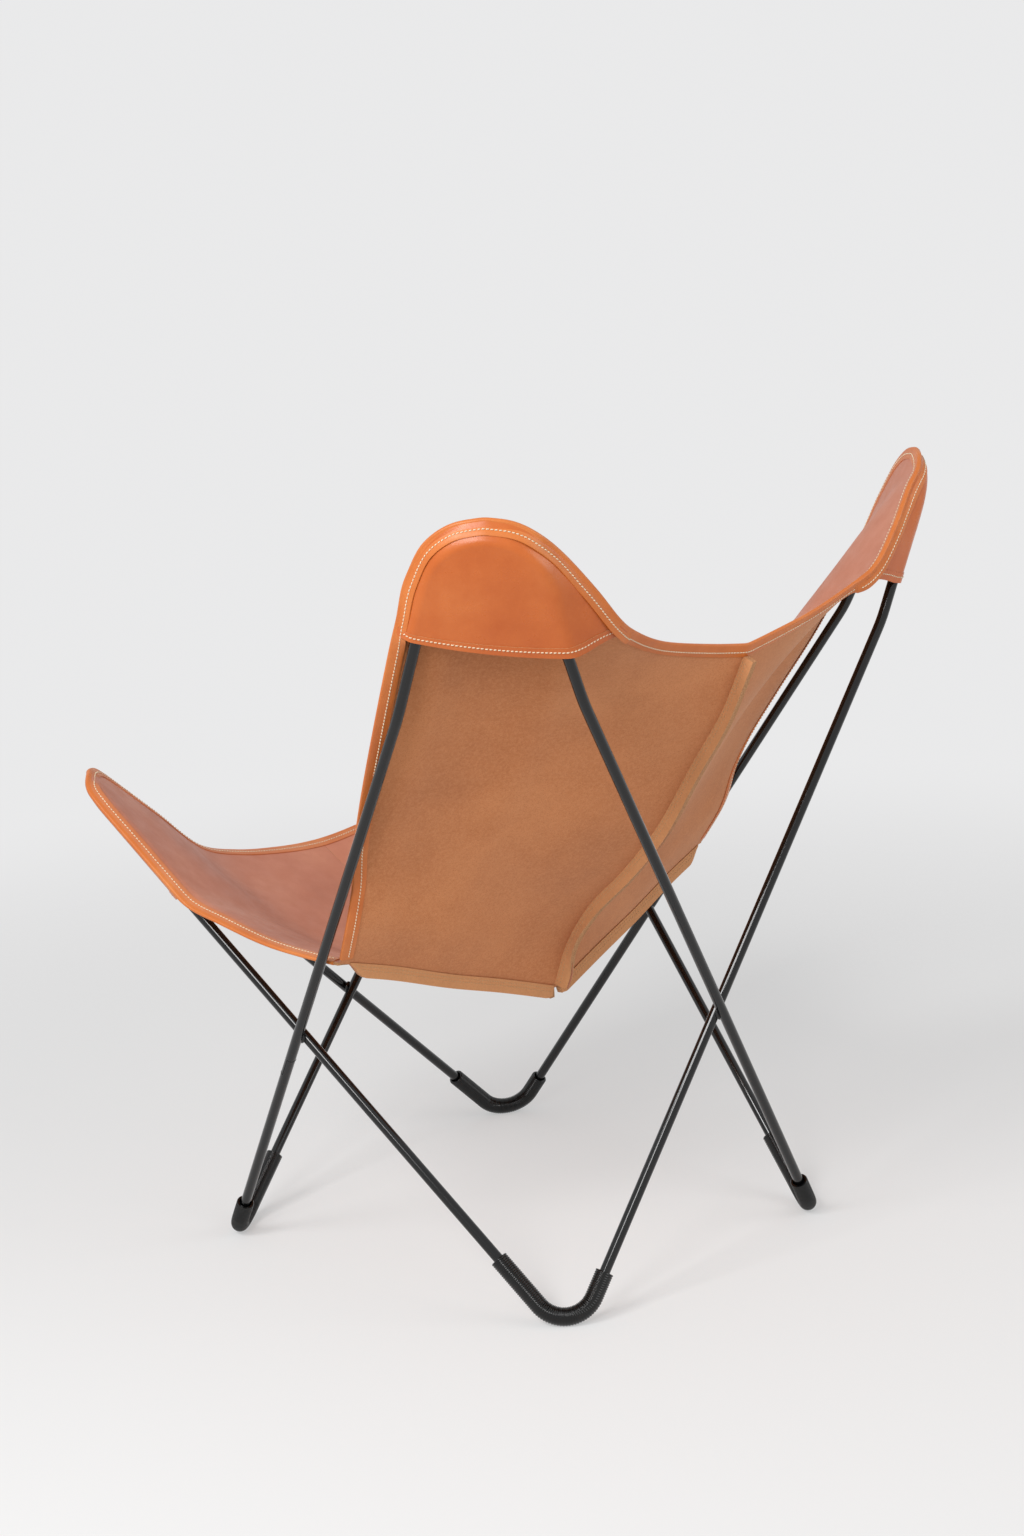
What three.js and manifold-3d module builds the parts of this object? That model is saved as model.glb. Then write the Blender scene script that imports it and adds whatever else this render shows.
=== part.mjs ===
// Butterfly sling chair: a leather sling of four panels hung by four ear pockets
// over a frame of two closed loops of bent round steel bar.
// Millimetres, +Z up. The sitter faces -Y, and +X is at the sitter's left hand.
import * as THREE from "three";
import { mergeVertices } from "three/addons/utils/BufferGeometryUtils.js";
import Module from "manifold-3d";

// Bar and fit
const BAR_DIAMETER = 12;
const FIT_GAP = 0.3;
const BAR_SIDES = 12;
const ARC_STEP_DEGREES = 15;

// Corners of the bent bars, given for the left side, where the straight runs would meet
const BACK_FOOT_X = 217;
const BACK_FOOT_Y = 247;
const FRONT_FOOT_X = 253;
const FRONT_FOOT_Y = -296;
const FRONT_EAR_X = 377;
const FRONT_EAR_Y = -369;
const FRONT_EAR_Z = 613;
const OUTER_KNEE_X = 374;
const OUTER_KNEE_Y = 201;
const OUTER_KNEE_Z = 711;
const INNER_KNEE_X = 262;
const INNER_KNEE_Y = 344;
const INNER_KNEE_Z = 720;
const BACK_EAR_X = 405;
const BACK_EAR_Y = 368;
const BACK_EAR_Z = 1041;

// Bend radii, measured to the middle of the bar
const FOOT_BEND = 37;
const FRONT_EAR_BEND = 38;
const BACK_EAR_BEND = 56;
const KNEE_BEND = 160;

// Half lap where the bar of one loop closes on itself
const LAP_LENGTH = 26;
const LAP_DROP = 46;
const CUT_OVERRUN = 2;

// Weld beads at the four crossings
const WELD_REACH = 8.5;
const WELD_HEIGHT = 5;
const BEAD_SIDES = 10;

// Ribbed rubber sleeves on the feet
const SLEEVE_LENGTH = 170;
const SLEEVE_SHIFT = 19;
const SLEEVE_DIAMETER = 21;
const RIB_DEPTH = 0.8;
const RIB_COUNT = 34;
const SLEEVE_SIDES = 8;
const SOLE_FLAT = 0.6;

// Leather
const LEATHER = 3.5;
const EAR_MARGIN = 22;
const EAR_SLACK = 0.6;
const BINDING_WIDTH = 9;
const BINDING_THICKNESS = 1.8;
const BINDING_SETBACK = 5;
const BINDING_ROOM = 1;
const BINDING_ROUND_SHARE = 0.6;
const JOINT_SHARE = 0.6;
const SEAM_ALLOWANCE = 16;
const SEAM_END = 14;
const POCKET_SLACK = 2.2;
const BACK_POCKET_DEPTH = 114;
const FRONT_POCKET_DEPTH = 150;

// Middle of the sling: lowest point, top of the back and front of the seat
const JUNCTION_Y = 40;
const JUNCTION_Z = 302;
const BACK_TOP_Y = 352;
const BACK_TOP_Z = 735;
const SEAT_FRONT_Y = -364;
const SEAT_FRONT_Z = 428;

// Outer end of the side seam, on the left side
const SIDE_X = 312;
const SIDE_Y = 14;
const SIDE_Z = 408;

// Sag of the seams, as shares of the way from the junction to the seam's end: along, up
const BACK_SEAM_SHARES = [
  [0.07, 0.12], [0.2, 0.25], [0.385, 0.37],
  [0.56, 0.505], [0.73, 0.68], [0.88, 0.83],
];
const FRONT_SEAM_SHARES = [[0.25, 0.02], [0.5, 0.19], [0.75, 0.53]];
const SIDE_SEAM_SHARES = [[0.26, 0.27], [0.51, 0.51], [0.77, 0.79]];

// Edge of the back panel down the outer bar: share of the run up from the foot,
// then the reach outward and the lift inward as shares of the ear margin
const OUTER_EDGE_SHARES = [
  [0.958, 0.82, 0.56],
  [0.85, 0.41, 0.62],
  [0.77, 0.0, 0.62],
  [0.715, -0.45, 0.42],
  [0.66, -0.72, -0.1],
];

// Flare of the back panel toward the middle, as shares of the pocket depth: across, down
const BACK_FLARE_SHARES = [[0.78, 0.38], [0.94, 0.63], [1.07, 0.82], [1.2, 0.96]];
const OUTER_FLARE_SHARES = [[-0.72, 0.46], [-0.785, 0.76], [-0.85, 1]];

// Top edge from the flare to the middle, as shares of the way from the ear's flare to the
// middle of the back: across, along, up
const TOP_EDGE_SHARES = [[0.16, 0.46, 0.27], [0.5, 0.79, 0.65], [0.83, 0.95, 0.92]];

// Front panel's edges beyond the ear, as shares of the way from the ear to the seam's end
const SIDE_EDGE_SHARES = [[0.2, 0.23, 0.36], [0.46, 0.54, 0.76], [0.78, 0.82, 0.94]];
const FRONT_EDGE_SHARES = [[0.3, 0.4, 0.55], [0.6, 0.8, 0.83], [0.85, 0.95, 0.97]];
const FRONT_CURL_SHARE = 0.3;

// The middle of each back panel hangs nearer the sitter than a plain stretch between its
// edges; the factor brings the swell's greatest value to one
const BELLY = 44;
const SWELL_FACTOR = 3125 / 108;

// Where the edges leave the bends of the ears, in degrees from the top of the bend
const BACK_OUTER_ANGLES = [25, 50, 75];
const BACK_INNER_ANGLES = [20, 38];
const FRONT_ANGLES = [30, 60];
const FRONT_LEG_SHARES = [0.5, 1];

// Section of a pocket behind the bar, as shares of its distance from the middle of the bar:
// outward from the ear, toward the sitter
const POCKET_RIM_SHARE = 1.25;
const POCKET_BACK_SHARES = [[1.12, 0.3], [1, -0.25], [0.72, -0.78], [0.1, -1], [-1.2, -1]];

// Ribs of a sleeve, as shares of their pitch: end of the crest, middle of the groove
const RIB_CREST_SHARE = 0.25;
const RIB_GROOVE_SHARE = 0.75;

// Mesh counts
const PANEL_ROWS = 14;
const FIN_STEPS = 12;
const CURVE_DIVISIONS = 400;
const SETTLE_PASSES = 60;
const QUARTER_TURN = 90;
const SHORT_SHARE = 0.01;
const FINE_MERGE = FIT_GAP / 10;
const COARSE_MERGE = FIT_GAP / 4;
const EDGE_EASE = 1.5;
const POCKET_ROWS = 6;
const POCKET_SIDE_ROW = 3;

const BAR_COLOUR = 0x1b1c1d;
const SLEEVE_COLOUR = 0x131313;
const LEATHER_COLOUR = 0xb8703c;
const POCKET_COLOUR = 0xc46a2e;
const BINDING_COLOUR = 0xb9622b;

const wasm = await Module();
wasm.setup();

const steel = new THREE.MeshStandardMaterial({ color: BAR_COLOUR, roughness: 0.42, metalness: 0.35 });
const rubber = new THREE.MeshStandardMaterial({ color: SLEEVE_COLOUR, roughness: 0.55, metalness: 0 });
const hide = new THREE.MeshStandardMaterial({ color: LEATHER_COLOUR, roughness: 0.7, metalness: 0 });
const grain = new THREE.MeshStandardMaterial({ color: POCKET_COLOUR, roughness: 0.45, metalness: 0 });
const strip = new THREE.MeshStandardMaterial({ color: BINDING_COLOUR, roughness: 0.5, metalness: 0 });

const up = new THREE.Vector3(0, 0, 1);
const vec = (x, y, z) => new THREE.Vector3(x, y, z);
const mix = (a, b, t) => a.clone().lerp(b, t);
const between = (a, b) => b.clone().sub(a);
const along = (p, direction, distance) => p.clone().addScaledVector(direction, distance);

// Joins and cuts

function toSolid(geometry) {
  const bare = geometry.clone();
  bare.deleteAttribute("normal");
  bare.deleteAttribute("uv");
  const merged = mergeVertices(bare);
  const vertProperties = new Float32Array(merged.attributes.position.array);
  const triVerts = new Uint32Array(merged.index.array);
  return new wasm.Manifold(new wasm.Mesh({ numProp: 3, vertProperties, triVerts }));
}

function toGeometry(solid) {
  const mesh = solid.getMesh();
  const geometry = new THREE.BufferGeometry();
  geometry.setAttribute("position", new THREE.BufferAttribute(mesh.vertProperties, 3));
  geometry.setIndex(new THREE.BufferAttribute(mesh.triVerts, 1));
  return geometry;
}

function fromFaces(points, triangles) {
  const geometry = new THREE.BufferGeometry();
  const flat = points.flatMap((p) => [p.x, p.y, p.z]);
  geometry.setAttribute("position", new THREE.Float32BufferAttribute(flat, 3));
  geometry.setIndex(triangles.flat());
  return mergeVertices(geometry);
}

// Frame loops

function loopCorners(side) {
  return [
    { name: "back_foot", at: vec(side * BACK_FOOT_X, BACK_FOOT_Y, 0), bend: FOOT_BEND },
    { name: "front_ear", at: vec(side * FRONT_EAR_X, FRONT_EAR_Y, FRONT_EAR_Z), bend: FRONT_EAR_BEND },
    { name: "front_foot", at: vec(-side * FRONT_FOOT_X, FRONT_FOOT_Y, 0), bend: FOOT_BEND },
    { name: "outer_knee", at: vec(-side * OUTER_KNEE_X, OUTER_KNEE_Y, OUTER_KNEE_Z), bend: KNEE_BEND },
    { name: "back_ear", at: vec(-side * BACK_EAR_X, BACK_EAR_Y, BACK_EAR_Z), bend: BACK_EAR_BEND },
    { name: "inner_knee", at: vec(-side * INNER_KNEE_X, INNER_KNEE_Y, INNER_KNEE_Z), bend: KNEE_BEND },
  ];
}

const cornerOf = (loop, name) => loop.findIndex((corner) => corner.name === name);

function bendArc(corners, index) {
  const count = corners.length;
  const { at, bend } = corners[index];
  const before = between(at, corners[(index + count - 1) % count].at).normalize();
  const after = between(at, corners[(index + 1) % count].at).normalize();
  const half = before.angleTo(after) / 2;
  const inward = before.clone().add(after).normalize();
  const centre = along(at, inward, bend / Math.sin(half));
  const start = between(centre, along(at, before, bend / Math.tan(half)));
  const normal = before.clone().cross(after).normalize();
  const sweep = Math.PI - 2 * half;
  const steps = Math.max(2, Math.ceil(THREE.MathUtils.radToDeg(sweep) / ARC_STEP_DEGREES));
  const points = [];
  for (let i = 0; i <= steps; i += 1) {
    const turned = start.clone().applyAxisAngle(normal, (-sweep * i) / steps);
    points.push(turned.add(centre));
  }
  return { points, centre, inward, half, before, after, normal };
}

function closestOnRuns(a, b, c, d) {
  const u = between(a, b).normalize();
  const v = between(c, d).normalize();
  const w = between(c, a);
  const cosine = u.dot(v);
  const bottom = 1 - cosine * cosine;
  const onFirst = along(a, u, (cosine * v.dot(w) - u.dot(w)) / bottom);
  const onSecond = along(c, v, (v.dot(w) - cosine * u.dot(w)) / bottom);
  return { onFirst, onSecond, u, v };
}

// The bars pass side by side at the crossings, and every foot stands at the same height
function settleLoops(left, right) {
  const crossings = [
    { inner: [left, "back_foot"], outer: [right, "front_foot"], outward: vec(1, 0, 0), name: "left" },
    { inner: [right, "back_foot"], outer: [left, "front_foot"], outward: vec(-1, 0, 0), name: "right" },
    { inner: [left, "inner_knee"], outer: [right, "inner_knee"], outward: vec(0, 1, 0), name: "back" },
    { inner: [right, "front_ear"], outer: [left, "front_ear"], outward: vec(0, -1, 0), name: "front" },
  ];
  const ends = ([loop, name]) => {
    const start = cornerOf(loop, name);
    return [loop[start], loop[(start + 1) % loop.length]];
  };
  for (let pass = 0; pass < SETTLE_PASSES; pass += 1) {
    for (const crossing of crossings) {
      const [a, b] = ends(crossing.inner);
      const [c, d] = ends(crossing.outer);
      const { onFirst, onSecond, u, v } = closestOnRuns(a.at, b.at, c.at, d.at);
      const normal = u.clone().cross(v).normalize();
      if (normal.dot(crossing.outward) < 0) {
        normal.negate();
      }
      const shortage = BAR_DIAMETER + FIT_GAP - between(onFirst, onSecond).dot(normal);
      for (const corner of [a, b]) {
        corner.at.addScaledVector(normal, -shortage / 2);
      }
      for (const corner of [c, d]) {
        corner.at.addScaledVector(normal, shortage / 2);
      }
      crossing.middle = mix(onFirst, onSecond, 0.5);
      crossing.normal = normal;
      crossing.innerRun = u;
      crossing.outerRun = v;
    }
    for (const loop of [left, right]) {
      loop.forEach((corner, index) => {
        if (corner.name.endsWith("foot")) {
          const lowest = Math.min(...bendArc(loop, index).points.map((p) => p.z));
          corner.at.z += SLEEVE_DIAMETER / 2 - SOLE_FLAT - lowest;
        }
      });
    }
  }
  return crossings;
}

function sweepRings(rings, closed) {
  const sides = rings[0].length;
  const points = rings.flat();
  const triangles = [];
  const last = closed ? rings.length : rings.length - 1;
  for (let i = 0; i < last; i += 1) {
    const next = (i + 1) % rings.length;
    for (let j = 0; j < sides; j += 1) {
      const k = (j + 1) % sides;
      triangles.push([i * sides + j, i * sides + k, next * sides + k]);
      triangles.push([i * sides + j, next * sides + k, next * sides + j]);
    }
  }
  return { points, triangles };
}

// One section ring square to the path, or on the mitre where the path turns
function sectionRing(centre, tangent, reference, radius, sides) {
  const side = reference.clone().addScaledVector(tangent, -reference.dot(tangent)).normalize();
  const other = tangent.clone().cross(side);
  const ring = [];
  for (let j = 0; j < sides; j += 1) {
    const angle = (2 * Math.PI * j) / sides;
    const point = along(centre, side, radius * Math.cos(angle));
    ring.push(point.addScaledVector(other, radius * Math.sin(angle)));
  }
  return ring;
}

function loopPath(corners) {
  return corners.flatMap((corner, index) => bendArc(corners, index).points);
}

function closedBar(path) {
  const count = path.length;
  const tangents = path.map((p, i) => {
    const before = between(path[(i + count - 1) % count], p).normalize();
    return before.add(between(p, path[(i + 1) % count]).normalize()).normalize();
  });
  const references = [vec(0, 0, 1)];
  for (let i = 0; i <= count; i += 1) {
    const from = tangents[i % count];
    const to = tangents[(i + 1) % count];
    const turn = new THREE.Quaternion().setFromUnitVectors(from, to);
    const kept = references[i].clone().addScaledVector(from, -references[i].dot(from)).normalize();
    references.push(kept.applyQuaternion(turn));
  }
  const first = references[1];
  const final = references[count + 1];
  const sign = Math.sign(first.clone().cross(final).dot(tangents[1])) || 1;
  const drift = sign * first.angleTo(final);
  const rings = path.map((p, i) => {
    const reference = i === 0 ? references[count] : references[i];
    const share = (i === 0 ? count - 1 : i - 1) / count;
    const eased = reference.clone().applyAxisAngle(tangents[i], -drift * share);
    return sectionRing(p, tangents[i], eased, BAR_DIAMETER / 2, BAR_SIDES);
  });
  const { points, triangles } = sweepRings(rings, true);
  return fromFaces(points, triangles);
}

// The Z-shaped kerf that parts the bar's two ends at the half lap
function lapKerf() {
  const half = LAP_LENGTH / 2;
  const slit = FIT_GAP / 2;
  const reach = BAR_DIAMETER / 2 + CUT_OVERRUN;
  const outline = new THREE.Shape([
    new THREE.Vector2(-half - slit, reach),
    new THREE.Vector2(-half - slit, -slit),
    new THREE.Vector2(half - slit, -slit),
    new THREE.Vector2(half - slit, -reach),
    new THREE.Vector2(half + slit, -reach),
    new THREE.Vector2(half + slit, slit),
    new THREE.Vector2(-half + slit, slit),
    new THREE.Vector2(-half + slit, reach),
  ]);
  const kerf = new THREE.ExtrudeGeometry(outline, { depth: 2 * reach, bevelEnabled: false });
  kerf.translate(0, 0, -reach);
  return kerf;
}

function placeAlong(geometry, origin, direction, across) {
  const side = across.clone().addScaledVector(direction, -across.dot(direction)).normalize();
  const third = direction.clone().cross(side);
  const basis = new THREE.Matrix4().makeBasis(direction, side, third);
  return geometry.applyMatrix4(basis.setPosition(origin));
}

function barWithLap(path, crossing) {
  const downward = crossing.outerRun.clone().multiplyScalar(-Math.sign(crossing.outerRun.z));
  const onOuter = along(crossing.middle, crossing.normal, (BAR_DIAMETER + FIT_GAP) / 2);
  const origin = along(onOuter, downward, LAP_DROP);
  const kerf = placeAlong(lapKerf(), origin, downward, vec(0, 1, 0));
  return toGeometry(toSolid(closedBar(path)).subtract(toSolid(kerf)));
}

function weldBead(crossing) {
  const bead = new THREE.SphereGeometry(1, BEAD_SIDES, BEAD_SIDES / 2);
  bead.scale(WELD_REACH, WELD_REACH, WELD_HEIGHT);
  placeAlong(bead, crossing.middle, crossing.innerRun, crossing.innerRun.clone().cross(crossing.normal));
  const clear = (BAR_DIAMETER / 2 + FIT_GAP) / Math.cos(Math.PI / BAR_SIDES);
  const offset = (BAR_DIAMETER + FIT_GAP) / 2;
  let solid = toSolid(bead);
  for (const [run, shift] of [[crossing.innerRun, -offset], [crossing.outerRun, offset]]) {
    const bar = new THREE.CylinderGeometry(clear, clear, 4 * WELD_REACH, BAR_SIDES);
    bar.rotateZ(-Math.PI / 2);
    placeAlong(bar, along(crossing.middle, crossing.normal, shift), run, crossing.normal);
    solid = solid.subtract(toSolid(bar));
  }
  return toGeometry(solid);
}

// Foot sleeves

function walkPath(points) {
  const marks = [0];
  for (let i = 1; i < points.length; i += 1) {
    marks.push(marks[i - 1] + points[i].distanceTo(points[i - 1]));
  }
  const total = marks[marks.length - 1];
  const place = (distance) => {
    let i = 1;
    while (i < points.length - 1 && marks[i] < distance) {
      i += 1;
    }
    const share = (distance - marks[i - 1]) / (marks[i] - marks[i - 1]);
    const tangent = between(points[i - 1], points[i]).normalize();
    return { at: mix(points[i - 1], points[i], share), tangent };
  };
  return { marks, total, place };
}

function footSleeve(corners, name) {
  const index = cornerOf(corners, name);
  const arc = bendArc(corners, index);
  const toEar = corners[(index + 1) % corners.length].name === "front_ear" ? arc.after : arc.before;
  const points = toEar === arc.after ? arc.points : [...arc.points].reverse();
  const other = toEar === arc.after ? arc.before : arc.after;
  const arcLength = walkPath(points).total;
  const lowArm = (SLEEVE_LENGTH - arcLength) / 2 + SLEEVE_SHIFT;
  const highArm = SLEEVE_LENGTH - arcLength - lowArm;
  const last = points[points.length - 1];
  const spine = [along(points[0], other, highArm), ...points, along(last, toEar, lowArm)];
  const walk = walkPath(spine);
  const turnAt = (i) => {
    const before = between(spine[Math.max(i - 1, 0)], spine[Math.max(i, 1)]).normalize();
    const next = Math.min(i + 1, spine.length - 1);
    return before.add(between(spine[next - 1], spine[next]).normalize()).normalize();
  };
  const easedTangent = (distance) => {
    let i = 0;
    while (i < spine.length - 2 && walk.marks[i + 1] < distance) {
      i += 1;
    }
    const share = (distance - walk.marks[i]) / (walk.marks[i + 1] - walk.marks[i]);
    return mix(turnAt(i), turnAt(i + 1), share).normalize();
  };
  const down = up.clone().negate();
  const pitch = walk.total / RIB_COUNT;
  const outer = [];
  for (let rib = 0; rib < RIB_COUNT; rib += 1) {
    for (const [share, depth] of [[RIB_CREST_SHARE, 0], [RIB_GROOVE_SHARE, RIB_DEPTH]]) {
      const end = rib === 0 && depth === 0 ? 0 : (rib + share) * pitch;
      const distance = rib === RIB_COUNT - 1 && depth > 0 ? walk.total : end;
      const { at } = walk.place(distance);
      outer.push(sectionRing(at, easedTangent(distance), down, SLEEVE_DIAMETER / 2 - depth, SLEEVE_SIDES));
    }
  }
  const boreRadius = (BAR_DIAMETER / 2 + FIT_GAP) / Math.cos(Math.PI / SLEEVE_SIDES);
  const bore = spine.map((p, i) => sectionRing(p, turnAt(i), down, boreRadius, SLEEVE_SIDES)).reverse();
  const { points: body, triangles } = sweepRings([...outer, ...bore], true);
  const hose = toSolid(fromFaces(body, triangles));
  const reach = 2 * SLEEVE_LENGTH;
  const ground = new THREE.BoxGeometry(reach, reach, SLEEVE_DIAMETER);
  ground.translate(corners[index].at.x, corners[index].at.y, -SLEEVE_DIAMETER / 2);
  return toGeometry(hose.subtract(toSolid(ground)));
}

// Ears: a flat frame of reference on the plane of the bent bar

function earFrame(corners, name, sideSign) {
  const index = cornerOf(corners, name);
  const arc = bendArc(corners, index);
  const apex = along(arc.centre, arc.inward, -corners[index].bend);
  const normal = arc.normal.clone();
  if (normal.x * sideSign > 0) {
    normal.negate();
  }
  const down = arc.inward;
  const across = down.clone().cross(normal);
  if (across.y < 0) {
    across.negate();
  }
  const lift = BAR_DIAMETER / 2 + EAR_SLACK + LEATHER / 2;
  return { apex, normal, down, across, lift, bend: corners[index].bend, half: arc.half };
}

function earPoint(ear, across, down, lift = ear.lift) {
  const point = along(ear.apex, ear.across, across);
  return point.addScaledVector(ear.down, down).addScaledVector(ear.normal, lift);
}

function earArcPoint(ear, degrees, radius, lift = ear.lift) {
  const angle = THREE.MathUtils.degToRad(degrees);
  return earPoint(ear, radius * Math.sin(angle), ear.bend - radius * Math.cos(angle), lift);
}

// Half the spread of the ear's straight legs at a depth below the top of the bend
function legReach(ear, down) {
  return ear.bend / Math.cos(ear.half) + (down - ear.bend) * Math.tan(ear.half);
}

// A smooth curve through points, read at shares of its chord length
function smoothCurve(points) {
  const curve = new THREE.CatmullRomCurve3(points, false, "centripetal");
  curve.arcLengthDivisions = CURVE_DIVISIONS;
  return (share) => curve.getPointAt(THREE.MathUtils.clamp(share, 0, 1));
}

function sharePoint(from, to, shares) {
  const way = between(from, to);
  const [x, y, z] = shares;
  return vec(from.x + way.x * x, from.y + way.y * y, from.z + way.z * z);
}

const junction = vec(0, JUNCTION_Y, JUNCTION_Z);
const backTop = vec(0, BACK_TOP_Y, BACK_TOP_Z);
const seatFront = vec(0, SEAT_FRONT_Y, SEAT_FRONT_Z);
const sideEnd = (sign) => vec(sign * SIDE_X, SIDE_Y, SIDE_Z);

function seamCurve(end, shares) {
  const inner = shares.map(([level, rise]) => sharePoint(junction, end, [level, level, rise]));
  return smoothCurve([junction, ...inner, end]);
}

const backSeam = seamCurve(backTop, BACK_SEAM_SHARES);
const frontSeam = seamCurve(seatFront, FRONT_SEAM_SHARES);
const sideSeam = (sign) => seamCurve(sideEnd(sign), SIDE_SEAM_SHARES);

function backEdges(ear, knee, foot, sign) {
  const radius = BACK_EAR_BEND + EAR_MARGIN;
  const tip = earArcPoint(ear, 0, radius);
  const outward = ear.across.clone().negate();
  const outer = BACK_OUTER_ANGLES.map((angle) => earArcPoint(ear, -angle, radius));
  for (const [across, down] of OUTER_FLARE_SHARES) {
    outer.push(earPoint(ear, across * BACK_POCKET_DEPTH, down * BACK_POCKET_DEPTH));
  }
  for (const [share, reach, lift] of OUTER_EDGE_SHARES) {
    const onBar = mix(foot, knee, share);
    onBar.addScaledVector(outward, reach * EAR_MARGIN);
    outer.push(onBar.addScaledVector(ear.normal, lift * EAR_MARGIN));
  }
  const inner = BACK_INNER_ANGLES.map((angle) => earArcPoint(ear, angle, radius));
  for (const [across, down] of BACK_FLARE_SHARES) {
    inner.push(earPoint(ear, across * BACK_POCKET_DEPTH, down * BACK_POCKET_DEPTH));
  }
  const flare = inner[inner.length - 1];
  for (const shares of TOP_EDGE_SHARES) {
    inner.push(sharePoint(flare, backTop, shares));
  }
  return {
    free: smoothCurve([tip, ...outer, sideEnd(sign)].reverse()),
    middle: smoothCurve([tip, ...inner, backTop].reverse()),
  };
}

function frontEdges(ear, sign) {
  const radius = FRONT_EAR_BEND + EAR_MARGIN;
  const tip = earArcPoint(ear, 0, radius);
  const reachAt = (down) => legReach(ear, down) + EAR_MARGIN / Math.cos(ear.half);
  const downs = FRONT_LEG_SHARES.map((share) => share * FRONT_POCKET_DEPTH);
  const outer = FRONT_ANGLES.map((angle) => earArcPoint(ear, angle, radius));
  outer.push(...downs.map((down) => earPoint(ear, reachAt(down), down)));
  const leave = outer[outer.length - 1];
  outer.push(...SIDE_EDGE_SHARES.map((shares) => sharePoint(leave, sideEnd(sign), shares)));
  const curl = FRONT_CURL_SHARE * EAR_MARGIN;
  const inner = FRONT_ANGLES.map((angle) => earArcPoint(ear, -angle, radius));
  inner.push(...downs.map((down) => {
    const lift = ear.lift + (curl * down) / FRONT_POCKET_DEPTH;
    return earPoint(ear, -reachAt(down), down, lift);
  }));
  const part = inner[inner.length - 1];
  inner.push(...FRONT_EDGE_SHARES.map((shares) => sharePoint(part, seatFront, shares)));
  return {
    free: smoothCurve([tip, ...outer, sideEnd(sign)].reverse()),
    middle: smoothCurve([tip, ...inner, seatFront].reverse()),
  };
}

// Nothing and level at both ends, and one at three fifths of the way
const swell = (share) => SWELL_FACTOR * share ** 3 * (1 - share) ** 2;

// A patch stretched between its four edge curves, all read from the junction outward
function patchPoint(panel, u, v) {
  const { side, centre, free, middle } = panel;
  const ruledU = mix(side(u), middle(u), v);
  const ruledV = mix(centre(v), free(v), u);
  const corners = mix(mix(side(0), side(1), u), mix(middle(0), middle(1), u), v);
  const belly = panel.belly * swell(u) * swell(v);
  return ruledU.add(ruledV).sub(corners).addScaledVector(panel.ear.normal, belly);
}

function patchGrid(panel, rows) {
  const grid = [];
  const eased = (k) => 1 - (1 - k / rows) ** EDGE_EASE;
  for (let i = 0; i <= rows; i += 1) {
    for (let j = 0; j <= rows; j += 1) {
      grid.push(patchPoint(panel, eased(i), eased(j)));
    }
  }
  return grid;
}

// Beside the bent bar the hide stays on the sitter's side of it
function keepInside(points, ear, depth) {
  for (const p of points) {
    const local = between(ear.apex, p);
    const rise = local.dot(ear.normal);
    if (local.dot(ear.down) < depth && rise < ear.lift) {
      p.addScaledVector(ear.normal, ear.lift - rise);
    }
  }
}

// Seam edges stand back from the middle of the seam by half a fit gap
function easeFromSeams(points, panel) {
  const width = PANEL_ROWS + 1;
  for (let j = 0; j < width; j += 1) {
    points[j].x = panel.sign * (FIT_GAP / 2);
    points[j * width].y += panel.toBack * (FIT_GAP / 2);
  }
}

function gridTriangles(rows, flip) {
  const width = rows + 1;
  const triangles = [];
  for (let i = 0; i < rows; i += 1) {
    for (let j = 0; j < rows; j += 1) {
      const a = i * width + j;
      const b = a + 1;
      const c = a + width;
      const d = c + 1;
      triangles.push(...(flip ? [[a, b, d], [a, d, c]] : [[a, d, b], [a, c, d]]));
    }
  }
  return triangles;
}

function vertexNormals(points, triangles) {
  const normals = points.map(() => vec(0, 0, 0));
  for (const [a, b, c] of triangles) {
    const face = between(points[a], points[b]).cross(between(points[a], points[c]));
    for (const k of [a, b, c]) {
      normals[k].add(face);
    }
  }
  return normals.map((n) => n.normalize());
}

// An open surface becomes a closed sheet: both faces offset from the middle, edges walled
function thicken(points, triangles, thickness, normals = vertexNormals(points, triangles)) {
  const count = points.length;
  const top = points.map((p, i) => along(p, normals[i], thickness / 2));
  const bottom = points.map((p, i) => along(p, normals[i], -thickness / 2));
  const edges = new Map();
  for (const [a, b, c] of triangles) {
    for (const [from, to] of [[a, b], [b, c], [c, a]]) {
      edges.set(`${from},${to}`, [from, to]);
    }
  }
  const faces = [...triangles, ...triangles.map(([a, b, c]) => [a + count, c + count, b + count])];
  for (const [from, to] of edges.values()) {
    if (!edges.has(`${to},${from}`)) {
      faces.push([to, from, from + count], [to, from + count, to + count]);
    }
  }
  return fromFaces([...top, ...bottom], faces);
}

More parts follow.
